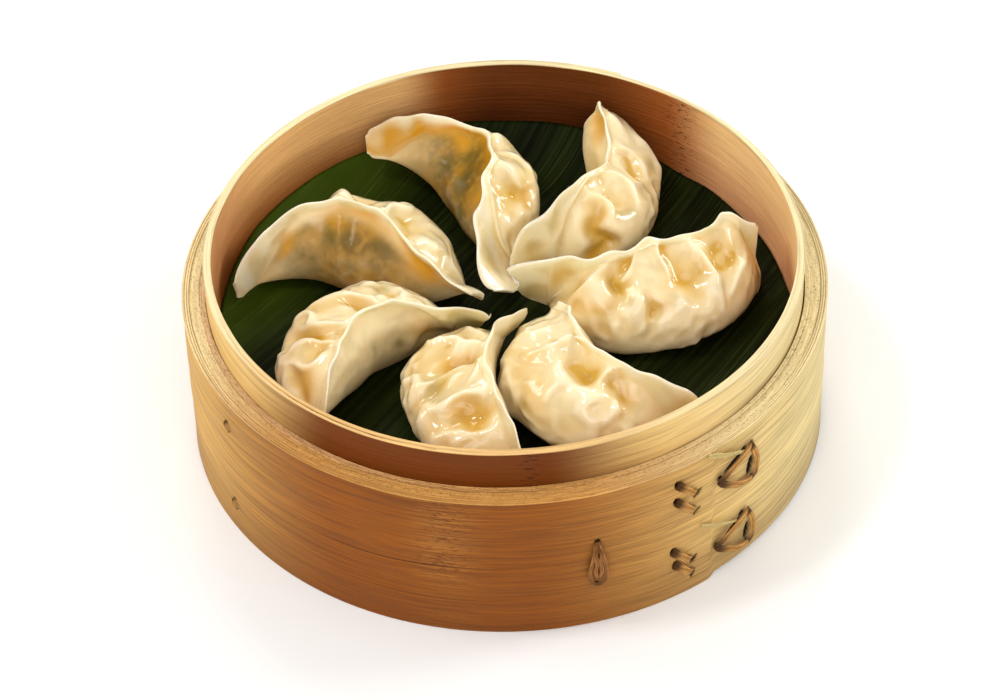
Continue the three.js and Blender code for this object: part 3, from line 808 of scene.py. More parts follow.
# metres, and the turn in radians
floorSlats = {
    "Count": 15, "Pitch": 0.011, "Width": 0.008, "Thickness": 0.002, "Reach": 0.0895, "Level": 0.0311,
    "Corner": 0.00045, "Wander": 0.00025, "Turn": 0.0, "Seed": 4,
}
crossBars = {
    "Count": 3, "Pitch": 0.054, "Width": 0.010, "Thickness": 0.006, "Reach": 0.0895, "Level": 0.0268,
    "Corner": 0.0008, "Wander": 0.0003, "Turn": math.pi / 2, "Seed": 9,
}
caneFloor = makeCaneFloorTree(floorSlats)
growPiece("floorSlats", caneFloor, dict(floorSlats, Finish=slatBamboo),
          [f"slat_{i + 1}" for i in range(floorSlats["Count"])])
growPiece("crossBars", caneFloor, dict(crossBars, Finish=barBamboo),
          [f"cross_bar_{i + 1}" for i in range(crossBars["Count"])])
print("slats and bars laid")


# banana leaf

leafSizes = {
    "radius": 89.5, "level": 33.2, "thickness": 0.7, "flatRadius": 68.0, "wall": 90.0,
    "veinAngle": 55.0, "ripple": 0.35, "rippleLength": 4.6,
    "veinHeight": 0.05, "veinRate": 2.1, "sway": 0.8, "swayLength": 23,
    "fineHeight": 0.03, "fineRate": 3.7, "finePhase": 1,
    # how far the edge climbs the wall: angle, height
    "climb": [(-180, 3.5), (-150, 3), (-120, 4), (-90, 5), (-60, 4), (-30, 6), (-8, 9), (10, 3), (45, 3.5),
              (75, 10), (95, 11), (120, 9), (150, 7.5), (170, 4.5), (180, 3.5)],
}


def leafHeight(sizes, radius, angle):
    turn = np.radians(angle)
    across = radius * np.sin(turn - math.radians(sizes["veinAngle"]))
    along = radius * np.cos(turn - math.radians(sizes["veinAngle"]))
    at, lift = np.array(sizes["climb"]).T
    place = np.clip(np.searchsorted(at, angle, side="left"), 1, len(at) - 1)
    share = ease((angle - at[place - 1]) / (at[place] - at[place - 1]))
    climb = lift[place - 1] + (lift[place] - lift[place - 1]) * share
    rise = climb * np.clip((radius - sizes["flatRadius"]) / (sizes["wall"] - sizes["flatRadius"]), 0, 1) ** 2
    ripple = sizes["ripple"] * np.sin(across / sizes["rippleLength"])
    sway = sizes["sway"] * np.sin(along / sizes["swayLength"])
    veins = (sizes["veinHeight"] * np.sin(across * sizes["veinRate"] + sway)
             + sizes["fineHeight"] * np.sin(across * sizes["fineRate"] + sizes["finePhase"]))
    return sizes["level"] + ripple + rise + veins


def makeBananaLeaf(sizes, finish):
    radii = np.concatenate([[0.02], np.linspace(0.9, sizes["radius"], 100)])
    angles = np.arange(-180, 180, 1.0)
    radius, angle = np.meshgrid(radii, angles, indexing="ij")
    height = leafHeight(sizes, radius, angle)
    above, below = (hoopCloud(angles, radius.T, (height + lift * sizes["thickness"]).T).transpose(1, 0, 2)
                    for lift in (0.5, -0.5))
    points = np.concatenate([above, below[::-1]]).reshape(-1, 3)
    quads = facingOut(points, gridQuads(len(radii) * 2, len(angles), closeRows=True))
    addPiece("bananaLeaf", points, quads, finish, ["banana_leaf"])


leafTones = {
    "deep": rgb(8, 11, 0), "fresh": rgb(22, 28, 3), "rib": rgb(54, 70, 12), "left": rgb(66, 86, 8),
    "thread": rgb(108, 122, 62),
}


def makeLeafGreen():
    material, shader, place = newMaterial("leafGreen")
    turn = -math.radians(leafSizes["veinAngle"])
    turned = made(shader.id_data, "ShaderNodeMapping", {"Vector": place, "Rotation": (0, 0, turn)})
    split = splitVector(turned)
    along, across = (times(split[i], perMetre) for i in (0, 1))

    def strips(width, length, detail, seed):
        vector = packVector(divided(along, length), divided(across, width), seed)
        return noiseAt(vector, 1.0, detail)

    broad = remap(strips(14.0, 110.0, 1.0, 2.0), 0.35, 0.65)
    ribs = remap(strips(1.6, 80.0, 2.0, 5.0), 0.4, 0.62)
    threads = remap(strips(0.55, 45.0, 1.0, 9.0), 0.6, 0.72)
    patches = remap(strips(20.0, 26.0, 2.0, 13.0), 0.35, 0.7)
    plain = splitVector(place)
    leftward = remap(minus(times(plain[1], 0.6), plain[0]), 0.06, 0.1, 0.0, 0.7)
    color = paint(leafTones["deep"], (broad, leafTones["fresh"]),
                  (times(ribs, 0.16), leafTones["rib"]), (leftward, leafTones["left"]),
                  (times(times(threads, patches), 0.3), leafTones["thread"]))
    relief = plus(times(ribs, 0.6), times(threads, 0.4))
    finishWith(shader, color, remap(ribs, 0.0, 1.0, 0.68, 0.58), relief, 0.0001, 0.06)
    return material


leafGreen = makeLeafGreen()
makeBananaLeaf(leafSizes, leafGreen)
print("leaf laid")


# gyoza

doughSizes = {
    "edge": 1.5, "seam": 2.6, "girth": 62.0, "level": 34.3,
    "tipReach": 0.7, "tipFade": 3.0, "stretch": 1.12, "stations": 190, "around": 92,
    "wander": 0.9, "wanderLength": 11.0, "softenRounds": 18, "hollowRounds": 30,
    "hollowDepth": 0.9, "amberDepth": 4.5,
}

# Lengths are in millimetres, angles in degrees.
#   outer, inner   the two ends: x, y and how high they lie; bow: how far the spine bends aside between them
#   crest          height of the seam at the outer end, in the middle and at the inner end
#   belly, pleated half widths of the smooth and of the pleated side; lean: the crest's step toward that side
#   roll           how far the section rolls over, at the outer end, in the middle and at the inner end
#   filled         from where to where along it there is filling; shows: how far down the smooth side it shows
#   rounding       radius of the corner at each end
#   edges          how far each end reaches on at four levels, from the base to the crest
# Places on the dough are (along, away): along runs from the outer to the inner end, 0 to 1; away runs from
# the crest, 0, down the pleated side to 1 and down the smooth side to -1.
#   peaks          bumps of the crest: along, width along, height
#   golds, sheers  amber spots, partly painted shade on flanks away from the light, and see-through spots:
#   along, away, radius along, radius down, strength
#   greens         leaves of the filling close under the dough: along, away, radius
#   hollows        along, away, radius along, radius down, depth
#   ridges         a path of places, height, width toward the outer end and toward the inner end
gyozaShapes = [
    {
        "outer": (-42.5, 69.3, 10.6), "inner": (3.9, 11, 2.2), "bow": 22.2, "bowSkew": 0.89,
        "crest": (3, 28.9, 8), "crestSkew": 1.19, "belly": 15.8, "pleated": 14.7, "lean": 1.3,
        "roll": (34, -4, -49), "filled": (0.08, 0.85), "mottle": 1, "shows": 0.02, "rounding": (1.6, 1.5),
        "edges": ((0.4, 0.3, 0.4, 1.6), (0, 3.5, 7.5, 9.5)), "peaks": [(0.87, 0.05, 2.2), (1, 0.05, -1.5)],
        "golds": [(0.02, -0.1, 9, 9, 0.9), (0.13, -0.13, 1.2, 3, 0.8), (0.19, -0.15, 5, 5, 0.6),
                  (0.3, -0.24, 6, 4, 0.6), (0.7, 0.47, 5, 4, 0.7), (0.68, -0.27, 4, 5, 0.5)],
        "sheers": [(0.97, -0.12, 9, 7, 0.4)],
        "greens": [(0.12, -0.1, 1.3), (0.125, -0.16, 1.5), (0.13, -0.24, 1.9), (0.28, -0.42, 4.5),
                   (0.38, -0.3, 3.6), (0.46, -0.45, 4.4), (0.6, -0.5, 4)],
        "hollows": [(0.3, 0.31, 5, 5, 1.8), (0.5, 0.25, 4, 8, 1.2), (0.7, 0.37, 5.5, 8, 4),
                    (0.84, 0.42, 3.5, 4, 2), (0.88, 0.39, 1.6, 2.6, 3.2), (0.92, 0.04, 5, 4, 0.6),
                    (0.1, -0.1, 4, 3, 0.8)],
        "ridges": [([(0.57, 0.06), (0.61, 0.22), (0.66, 0.45)], 2.4, 4, 1.4),
                   ([(0.38, 0.02), (0.42, 0.2), (0.42, 0.4)], 1.5, 3, 2),
                   ([(0.79, 0.28), (0.785, 0.4), (0.75, 0.52)], 1.8, 1.3, 3),
                   ([(0.6, 0.03), (0.7, 0.12), (0.8, 0.22), (0.92, 0.26)], 2.2, 2, 3),
                   ([(0.85, 0.12), (0.92, 0.13), (1, 0.1)], 0.9, 1.2, 1.2),
                   ([(0, -0.13), (0.06, -0.12), (0.14, -0.13)], 0.9, 0.8, 0.8)],
    },
    {
        "outer": (32.5, 73, 11.4), "inner": (7.6, 15.7, 1.6), "bow": 14, "bowSkew": 0.99,
        "crest": (13.1, 30.2, 2.5), "crestSkew": 1.68, "belly": 9.1, "pleated": 16.3, "lean": 0.6,
        "roll": (1, -7, -9), "filled": (-0.08, 0.85), "mottle": 0.45, "shows": 0.3, "rounding": (2.5, 1),
        "edges": ((2.5, 3.5, 4.2, 2), (0, 1.5, 3.5, 6.5)), "peaks": [(0.02, 0.05, 0.2)],
        "golds": [(0.68, 0.42, 3, 8, 0.6), (0.73, 0.59, 3, 3, 0.9), (0.05, -0.25, 6, 8, 0.7),
                  (0.95, 0.05, 4, 5, 0.4)],
        "sheers": [(0.86, 0.03, 13, 4, 1.2), (0.72, 0.02, 8, 3, 1), (0.95, -0.2, 6, 12, 0.8)],
        "greens": [(0.735, 0.58, 1.9), (0.57, 0.45, 4), (0.4, 0.42, 3), (0.24, 0.45, 2.4)],
        "hollows": [(0.07, -0.22, 8, 8, 3.4), (0.27, -0.45, 8, 12, 4), (0.28, 0.35, 4, 5.5, 2.8),
                    (0.56, 0.35, 4.5, 7, 2.8), (0.705, 0.46, 3.2, 10, 4.2), (0.74, 0.56, 3, 3, 1.6),
                    (0.38, 0.46, 4, 4, 1.2)],
        "ridges": [([(0, 0.06), (0.07, 0.18), (0.1, 0.3)], 3, 3, 3),
                   ([(0.12, 0.4), (0.19, 0.5), (0.24, 0.58)], 2.4, 4, 4),
                   ([(0.23, 0.18), (0.21, 0.3), (0.24, 0.4), (0.3, 0.46)], 2, 3.4, 1.2),
                   ([(0.47, 0.07), (0.46, 0.22), (0.46, 0.34), (0.5, 0.46)], 2.3, 3.6, 1.4),
                   ([(0.665, 0.38), (0.66, 0.52), (0.64, 0.64)], 2, 3, 1.2),
                   ([(0.63, 0.27), (0.6, 0.4)], 1.2, 1.6, 1.6),
                   ([(0.6, 0.06), (0.72, 0.1), (0.82, 0.11), (0.92, 0.12), (0.97, 0.2)], 2.2, 4, 1)],
    },
    {
        "outer": (79.3, 17.7, 0.8), "inner": (5.7, 6.2, 5.4), "bow": 12.8, "bowSkew": 1.12,
        "crest": (20, 29.7, 8.4), "crestSkew": 1.11, "belly": 17.6, "pleated": 20, "lean": -1.9,
        "roll": (2, -1, 21), "filled": (-0.02, 0.88), "mottle": 0.4, "shows": 0.3, "rounding": (1.5, 1),
        "edges": ((0, -1, -1, 0), (-1, 0.6, -1.2, 5)),
        "peaks": [(0.12, 0.07, 5), (0.155, 0.018, 1.2), (0.5, 0.05, 1.8), (0.61, 0.05, -1.2),
                  (0.8, 0.04, 0.8)],
        "golds": [(0.68, 0.38, 3.5, 3.5, 0.6), (0.69, 0.52, 4, 4, 0.5), (0.51, 0.42, 3, 3, 0.6),
                  (0.38, 0.32, 4, 4, 0.6), (0.21, 0.3, 3, 3, 0.3), (0.06, 0.36, 5, 9, 0.8),
                  (0.76, 0.34, 3, 8, 0.8), (0.83, 0.1, 4, 4, 0.5)],
        "sheers": [(0.97, 0.2, 6, 16, 1), (0.99, -0.2, 6, 12, 0.8)],
        "greens": [(0.58, 0.4, 2.6), (0.44, 0.42, 3), (0.42, 0.24, 2), (0.3, 0.42, 2.6), (0.62, 0.33, 1.8)],
        "hollows": [(0.612, 0.29, 3.6, 6, 4.8), (0.67, 0.22, 5, 5, 1.4), (0.38, 0.33, 6.5, 5.5, 3.4),
                    (0.4, 0.22, 6, 5, 1.6), (0.535, 0.46, 3.2, 4.5, 2.2), (0.2, 0.3, 4.5, 6.5, 2.8),
                    (0.03, 0.25, 4, 9, 1.6), (0.84, 0.3, 6, 7, 2.8), (0.9, 0.6, 6, 8, 2.4)],
        "ridges": [([(0.31, 0.1), (0.29, 0.25), (0.285, 0.36), (0.3, 0.52)], 2.2, 2.2, 3),
                   ([(0.49, 0.1), (0.55, 0.16), (0.595, 0.27), (0.605, 0.4)], 2.8, 3.6, 1.3),
                   ([(0.66, 0.13), (0.72, 0.25), (0.765, 0.36), (0.78, 0.52)], 3.2, 5.5, 1.5),
                   ([(0.565, 0.36), (0.555, 0.52)], 2, 1.1, 2.4),
                   ([(0.46, 0.07), (0.46, 0.2), (0.44, 0.34)], 2, 2, 2),
                   ([(0.44, 0.42), (0.43, 0.5)], 1.5, 1.8, 1.8),
                   ([(0.13, 0.34), (0.17, 0.43), (0.24, 0.47)], 2, 2.4, 1.4),
                   ([(0.1, 0.03), (0.08, 0.15), (0.04, 0.3), (0.03, 0.48)], 1.8, 0.8, 4),
                   ([(0.86, 0), (0.89, 0.12), (0.9, 0.26)], 1.4, 1.4, 1),
                   ([(0.86, 0.2), (0.93, 0.25), (1, 0.24)], 2.4, 1, 1),
                   ([(0.4, 0.8), (0.42, 0.65)], 1.4, 3, 3), ([(0.24, 0.82), (0.24, 0.68)], 1.2, 2.6, 2.6)],
    },
    {
        "outer": (56.7, -54.2, 2.7), "inner": (12.8, -11.7, 0.8), "bow": 17.5, "bowSkew": 0.99,
        "crest": (12.9, 28.5, 16.9), "crestSkew": 1.06, "belly": 12, "pleated": 20.2, "lean": -2.8,
        "roll": (10, -4, -8), "filled": (0.09, 1.1), "mottle": 0.5, "shows": 0.3, "rounding": (4.5, 3),
        "edges": ((0, 0.3, 0.6, 0.8), (0, 0, 0.2, 0.2)),
        "peaks": [(0.78, 0.07, 1.2), (0.86, 0.03, 0.8), (1, 0.06, -2)],
        "golds": [(0.61, 0.46, 5, 5, 0.3), (0.71, 0.46, 5, 6, 0.3), (0.53, 0.52, 5, 5, 0.35),
                  (0.27, 0.28, 2.5, 4, 0.5), (0.46, 0.27, 3, 2.5, 1)],
        "sheers": [(0.43, 0.43, 5, 4, 0.4)],
        "greens": [(0.52, 0.5, 4), (0.75, 0.6, 4), (0.6, 0.55, 3)],
        "hollows": [(0.46, 0.25, 6.5, 4.5, 5.4), (0.5, 0.17, 5, 4, 1.2), (0.27, 0.27, 4.2, 6, 2.8),
                    (0.66, 0.36, 5, 5, 1.4), (0.82, 0.24, 5, 5, 1.2), (0.88, 0.6, 7, 9, 2.4),
                    (0.72, 0.64, 6, 7, -1.4), (0.93, 0.16, 5, 5, -2.4)],
        "ridges": [([(0.72, 0.42), (0.65, 0.24), (0.61, 0.06)], 2.5, 2.8, 1.2),
                   ([(0.85, 0.36), (0.8, 0.34), (0.77, 0.28), (0.79, 0.2)], 1.4, 1.2, 1.2),
                   ([(0.56, 0.27), (0.54, 0.35), (0.52, 0.43)], 2, 1.2, 2.4),
                   ([(0.51, 0.36), (0.46, 0.36), (0.39, 0.33)], 1.6, 1.6, 1.6),
                   ([(0.33, 0.06), (0.36, 0.22), (0.37, 0.35), (0.37, 0.5)], 2.8, 2.8, 3.4),
                   ([(0.31, 0.3), (0.32, 0.45)], 1.4, 1.1, 1.1),
                   ([(0.85, 0.5), (0.7, 0.62), (0.6, 0.75)], 1, 3, 3)],
    },
    {
        "outer": (6.8, -76.6, 5.6), "inner": (4.5, -8.5, 7), "bow": 21.6, "bowSkew": 1.18,
        "crest": (12.9, 26.7, 2.5), "crestSkew": 1.14, "belly": 9.5, "pleated": 19.1, "lean": -2.7,
        "roll": (19, -16, -1), "filled": (0.09, 0.91), "mottle": 0.45, "shows": 0.3, "rounding": (4.5, 1),
        "edges": ((0, 0.5, 1, 1.7), (-1, 0, 1.2, 2.6)), "peaks": [(0.93, 0.1, -5)],
        "golds": [(0.59, 0.32, 4, 4, 0.7), (0.28, 0.33, 5, 5, 0.8), (0.53, 0.52, 9, 5, 0.3),
                  (0.62, 0.47, 6, 5, 0.3), (0.3, 0.52, 8, 5, 0.5)],
        "sheers": [(0.95, 0.12, 6, 8, 0.9), (0.43, 0.42, 5, 5, 0.7), (0.53, 0.4, 4, 4, 0.4)],
        "greens": [(0.46, 0.42, 3.4), (0.55, 0.5, 3), (0.28, 0.36, 1.6)],
        "hollows": [(0.57, 0.28, 4.5, 9, 4.6), (0.26, 0.31, 4.2, 8, 4.8), (0.45, 0.37, 4.5, 8, 3),
                    (0.74, 0.32, 3.2, 7, 2.2), (0.24, 0.64, 9, 9, -3.6)],
        "ridges": [([(0.7, 0.5), (0.67, 0.34), (0.66, 0.12)], 2.2, 1.3, 2.6),
                   ([(0.8, 0.46), (0.79, 0.2)], 1.8, 1.2, 2.8),
                   ([(0.53, 0.6), (0.51, 0.5), (0.49, 0.36)], 2.2, 2, 1.3),
                   ([(0.5, 0.1), (0.44, 0.23), (0.41, 0.3)], 2.3, 2.4, 1.5),
                   ([(0.39, 0.46), (0.37, 0.36), (0.345, 0.26), (0.32, 0.16)], 2.2, 1.3, 3),
                   ([(0.31, 0.54), (0.24, 0.42), (0.19, 0.26)], 2.2, 2.4, 1.5),
                   ([(0.6, 0.62), (0.6, 0.8)], 1.4, 2.5, 2.5), ([(0.42, 0.64), (0.42, 0.82)], 1.4, 2.5, 2.5)],
    },
    {
        "outer": (-58.9, -54.3, 6.6), "inner": (-5, -3.6, 1.1), "bow": 20.7, "bowSkew": 0.96,
        "crest": (13, 28.4, 15.6), "crestSkew": 1.15, "belly": 10.5, "pleated": 19.8, "lean": -4.7,
        "roll": (-13, -9, -36), "filled": (0.06, 0.87), "mottle": 0.45, "shows": 0.3,
        "rounding": (4.5, 3.5), "edges": ((0, 1.5, 3.5, 5.1), (-4, -2.5, -0.8, -0.8)),
        "peaks": [(0.62, 0.04, 1), (0.97, 0.12, 7)],
        "golds": [(0.45, 0.4, 6, 6, 0.35), (0.13, 0.36, 6, 6, 0.6), (0.24, 0.2, 4, 4, 0.4),
                  (0.32, 0.36, 3, 5, 0.3), (0.77, -0.36, 6, 7, 0.45)],
        "sheers": [(1, -0.12, 8, 12, 1), (0.97, 0.1, 9, 9, 0.8)],
        "greens": [(0.29, 0.4, 3.6), (0.66, 0.4, 5), (0.4, -0.45, 3), (0.62, -0.48, 3.4)],
        "hollows": [(0.5, 0.25, 4.5, 8, 4.4), (0.29, 0.36, 4, 8, 4.6), (0.21, 0.28, 3, 5, 2.6),
                    (0.12, 0.43, 4, 8, 3.2), (0.64, 0.32, 3.4, 6, 2.4), (0.41, 0.46, 4, 5, 1.6),
                    (0.83, -0.5, 6, 11, 4), (0.14, 0.62, 8, 8, -1.8)],
        "ridges": [([(0.46, 0.48), (0.54, 0.36), (0.58, 0.2), (0.57, 0.08)], 2.3, 3, 1.3),
                   ([(0.41, 0.54), (0.35, 0.38), (0.33, 0.24), (0.36, 0.06)], 2.8, 1.3, 2.6),
                   ([(0.27, 0.52), (0.25, 0.35), (0.245, 0.1)], 2.3, 2.6, 1.3),
                   ([(0.2, 0.5), (0.17, 0.38), (0.17, 0.2)], 2, 1.3, 2.4),
                   ([(0.7, 0.42), (0.71, 0.25)], 1.4, 1.4, 2.4),
                   ([(0.7, -0.01), (0.8, -0.02), (0.86, -0.05), (0.89, -0.14), (0.88, -0.32)], 2.6, 5, 0.8)],
    },
    {
        "outer": (-83.3, 11.8, 3), "inner": (-4.9, 2.5, 6), "bow": 23.2, "bowSkew": 0.77,
        "crest": (3.4, 27.8, 9.4), "crestSkew": 1.01, "belly": 18.7, "pleated": 18.3, "lean": -2.8,
        "roll": (7, -1, -40), "filled": (0.09, 0.88), "mottle": 0.95, "shows": 0.17, "rounding": (1.2, 2),
        "edges": ((1.5, 1, 1.5, 2.6), (-2, -1.5, -1, 0)),
        "peaks": [(0.09, 0.03, 1.2), (0.37, 0.05, 0.8), (0.57, 0.06, 0.8)],
        "golds": [(0.8, -0.2, 7, 6, 0.9), (0.5, -0.18, 14, 4, 0.6), (0.16, -0.27, 4, 5, 0.6),
                  (0.7, -0.1, 5, 4, 0.4), (0.36, -0.27, 5, 4, 0.4)],
        "sheers": [(0.7, 0.4, 8, 8, 0.3)],
        "greens": [(0.2, -0.45, 4), (0.33, -0.35, 3.4), (0.45, -0.42, 4.5), (0.58, -0.38, 3.6),
                   (0.73, -0.36, 3.4), (0.3, -0.55, 3)],
        "hollows": [(0.3, 0.3, 5, 6, 2.4), (0.47, 0.28, 4, 8, 3), (0.66, 0.28, 4, 8, 3),
                    (0.84, 0.25, 3.5, 6, 1.8)],
        "ridges": [([(0.37, 0.04), (0.37, 0.2), (0.37, 0.4)], 2.6, 3.2, 3.2),
                   ([(0.57, 0.02), (0.58, 0.2), (0.59, 0.42)], 2.6, 3.2, 1.8),
                   ([(0.74, 0.04), (0.76, 0.2), (0.77, 0.4)], 2, 2.6, 1.2),
                   ([(0.78, 0.5), (0.86, 0.43), (0.93, 0.3)], 1.2, 1, 1),
                   ([(0.02, 0), (0.1, -0.08), (0.17, -0.13)], 1.2, 1.2, 1.2)],
    },
]


def throughThree(values, along):
    start, middle, end = values
    return (start * (1 - along) * (1 - 2 * along) + middle * 4 * along * (1 - along)
            + end * along * (2 * along - 1))


# half of a section: flat base, round flank, slope, hollow, and the pinched seam standing up
def flank(side, up, width, seamTop, seam):
    baseEnd, widest, slopeEnd = 0.22, 0.42, 0.84
    hollowWidth, hollowDepth = (0.24, 0.24) if side < 0 else (0.36, 0.12)
    root = seamTop - seam
    low = 0.34 * root
    base = 0.66 * width
    edge = doughSizes["edge"] / 2
    turn = np.clip((up - baseEnd) / (widest - baseEnd), 0, 1) * math.pi / 2
    t = np.clip((up - widest) / (slopeEnd - widest), 0, 1)
    r = 1 - t
    slope = root - low
    hollowU = edge + hollowWidth * (width - edge)
    slopeU = r ** 3 * width + 3 * r * r * t * width + 3 * r * t * t * hollowU + t ** 3 * edge
    slopeZ = (r ** 3 * low + 3 * r * r * t * (low + 0.5 * slope)
              + 3 * r * t * t * (root - hollowDepth * slope) + t ** 3 * root)
    s = np.clip((up - slopeEnd) / (1 - slopeEnd), 0, 1)
    seamU = edge * np.sqrt(np.clip(1 - s ** 3.5, 0, 1))
    parts = [up >= slopeEnd, up >= widest, up >= baseEnd]
    u = np.select(parts, [seamU, slopeU, base + (width - base) * np.sin(turn)], base * up / baseEnd)
    z = np.select(parts, [root + seam * s, slopeZ, low * (1 - np.cos(turn))], 0.0)
    return u, z


def softSpots(spots, x, y, length):
    total = np.zeros_like(x)
    for along, away, radiusAlong, radiusDown, strength in spots:
        dx = (x - along * length) / radiusAlong
        dy = (y - away * doughSizes["girth"]) / radiusDown
        total += strength * np.exp(-(dx * dx + dy * dy))
    return total


# folds fade at both ends of their path, and may be steep on one side and gentle on the other
def foldRidges(ridges, x, y, length):
    total = np.zeros_like(x)
    for path, height, outerWidth, innerWidth in ridges:
        corners = np.array(path) * (length, doughSizes["girth"])
        spans = np.linalg.norm(np.diff(corners, axis=0), axis=1)
        walked = np.concatenate([[0], np.cumsum(spans)]) / spans.sum()
        best = np.full_like(x, 1e9)
        share, step = np.zeros_like(x), np.zeros_like(x)
        for number, span in enumerate(spans):
            startX, startY = corners[number]
            spanX, spanY = corners[number + 1] - corners[number]
            part = np.clip(((x - startX) * spanX + (y - startY) * spanY) / span ** 2, 0, 1)
            offX, offY = x - startX - part * spanX, y - startY - part * spanY
            away = np.hypot(offX, offY)
            closer = away < best
            best = np.where(closer, away, best)
            share = np.where(closer, walked[number] + part * (walked[number + 1] - walked[number]), share)
            step = np.where(closer, offX, step)
        width = outerWidth + (innerWidth - outerWidth) * (0.5 + 0.5 * step / np.maximum(best, 0.3))
        fade = 0.3 + 0.7 * np.sin(np.pi * np.clip(share, 0.02, 0.98)) ** 0.8
        total += height * fade * np.exp(-(best / width) ** 1.6)
    return total


def gridNormals(points, outwardFrom):
    along = np.gradient(points, axis=0)
    around = np.roll(points, -1, axis=1) - np.roll(points, 1, axis=1)
    normals = np.cross(along, around)
    normals /= np.maximum(np.linalg.norm(normals, axis=-1, keepdims=True), 1e-9)
    if ((points - outwardFrom) * normals).sum() < 0:
        normals = -normals
    return normals


def smoothAround(values):
    return (np.roll(values, 1, 1) + 2 * values + np.roll(values, -1, 1)) / 4


def smoothGrid(values, rounds):
    result = values
    for _ in range(rounds):
        result = smoothAround(result)
        padded = np.concatenate([result[:1], result, result[-1:]])
        result = (padded[:-2] + 2 * result + padded[2:]) / 4
    return result


def shapeGyoza(gyoza, seed):
    outer, inner = np.array(gyoza["outer"]), np.array(gyoza["inner"])
    chord = (inner - outer)[:2]
    length = doughSizes["stretch"] * np.linalg.norm(chord)
    sideways = np.array([-chord[1], chord[0]]) / np.linalg.norm(chord)

    def spine(s):
        bulge = gyoza["bow"] * np.sin(np.pi * np.clip(s, 0, 1) ** gyoza["bowSkew"])
        return outer[:2] + s[:, None] * chord + bulge[:, None] * sideways

    along = np.linspace(0, 1, doughSizes["stations"])
    narrow, reach = np.ones_like(along), np.zeros_like(along)
    # rounded tips: a few sections that close in quickly past each end
    tip = np.array([1.0, 0.92, 0.7, 0.35])
    tipNarrow = np.concatenate([[0.02], np.sqrt(1 - tip ** 2)])
    tip = np.concatenate([[1.02], tip])
    along = np.concatenate([np.zeros(5), along, np.ones(5)])
    narrow = np.concatenate([tipNarrow, narrow, tipNarrow[::-1]])
    reach = np.concatenate([-tip, reach, tip[::-1]]) * doughSizes["tipReach"]
    small = 0.01
    forward = spine(np.minimum(along + small, 1)) - spine(np.maximum(along - small, 0))
    forward /= np.linalg.norm(forward, axis=1, keepdims=True)
    across = np.stack([-forward[:, 1], forward[:, 0]], -1)
    roll = np.radians(throughThree(gyoza["roll"], along))

    start, end = gyoza["filled"]
    within = np.clip((along - start + 0.03) / (end - start + 0.06), 0, 1)
    filling = (1 - np.abs(2 * within - 1) ** 2.6) ** 1.1
    rise = np.sin(np.pi * np.clip((along ** gyoza["crestSkew"] + 0.02) / 1.04, 0, 1)) ** 0.5
    outerCrest, peak, innerCrest = gyoza["crest"]
    ends = outerCrest + (innerCrest - outerCrest) * along
    top = ends * (1 - rise) + peak * rise
    for peakAt, peakWidth, peakHeight in gyoza["peaks"]:
        top = top + peakHeight * np.exp(-(np.abs(along - peakAt) / peakWidth) ** 2)
    seam = np.minimum(doughSizes["seam"] + (top - doughSizes["seam"] - 0.5) * (1 - filling) ** 2.4, top - 1)
    edge = doughSizes["edge"] / 2

    count = doughSizes["around"]
    ups = np.linspace(0, 1, count)
    sections = []
    for side, halfWidth in ((-1, gyoza["belly"]), (1, gyoza["pleated"])):
        width = edge + (halfWidth - edge) * filling
        u, z = flank(side, ups[None, :], width[:, None], top[:, None], seam[:, None])
        u = side * u + gyoza["lean"] * rise[:, None] * np.clip(z / top[:, None], 0, 1) ** 1.3
        sections.append((u, z))
    (smoothU, smoothZ), (pleatU, pleatZ) = sections
    fullU = np.concatenate([smoothU, pleatU[:, -2:0:-1]], 1)
    fullZ = np.concatenate([smoothZ, pleatZ[:, -2:0:-1]], 1)
    loopUp = np.concatenate([ups, ups[-2:0:-1]])
    # the dough runs softly into the seam, with no crease beside it
    soften = ease((loopUp - 0.5) / 0.15) * ease((0.985 - loopUp) / 0.05)
    softU, softZ = fullU, fullZ
    for _ in range(doughSizes["softenRounds"]):
        softU, softZ = smoothAround(softU), smoothAround(softZ)
    fullU = fullU + (softU - fullU) * soften
    fullZ = fullZ + (softZ - fullZ) * soften
    # both ends are rounded in the plane of the fin
    fromEnd = np.minimum(along, 1 - along) * length
    rounding = np.where(along < 0.5, *gyoza["rounding"])
    bend = np.minimum(rounding, top * 0.45)
    inset = bend - np.sqrt(np.maximum(bend ** 2 - np.maximum(bend - fromEnd, 0) ** 2, 0))
    fullZ = inset[:, None] + fullZ * (1 - 2 * inset / top)[:, None]
    loopSide = np.concatenate([-np.ones(count), np.ones(count - 2)])

    lift = (outer[2] * (1 - ease(along / 0.35)) + inner[2] * ease((along - 0.7) / 0.3)
            + edge * np.abs(np.sin(roll)) * (1 - filling))
    outerEdge, innerEdge = gyoza["edges"]
    u = fullU * narrow[:, None]
    middle = top[:, None] / 2
    closing = (1 - narrow[:, None]) * np.minimum(1, doughSizes["edge"] / top[:, None])
    z = middle + (fullZ - middle) * (1 - closing)
    height = np.maximum(z * np.cos(roll)[:, None] - u * np.sin(roll)[:, None], 0)
    sideStep = u * np.cos(roll)[:, None] + z * np.sin(roll)[:, None]
    level = np.clip(height / top[:, None], 0, 1)
    knots = np.linspace(0, 1, 4)
    onward = (reach[:, None] + np.interp(level, knots, innerEdge) * ease((along - 0.8) / 0.2)[:, None]
              - np.interp(level, knots, outerEdge) * (1 - ease(along / 0.2))[:, None])
    ground = (spine(along)[:, None, :] + across[:, None, :] * sideStep[..., None]
              + forward[:, None, :] * onward[..., None])
    points = np.concatenate([ground, (doughSizes["level"] + lift[:, None] + height)[..., None]], -1)

    # hollows and ridges of the folds, lumps of the filling, and a wandering seam
    middleLine = points.mean(1, keepdims=True)
    normals = gridNormals(points, middleLine)
    away = loopSide * (1 - loopUp)
    x, y = np.meshgrid(along * length, away * doughSizes["girth"], indexing="ij")
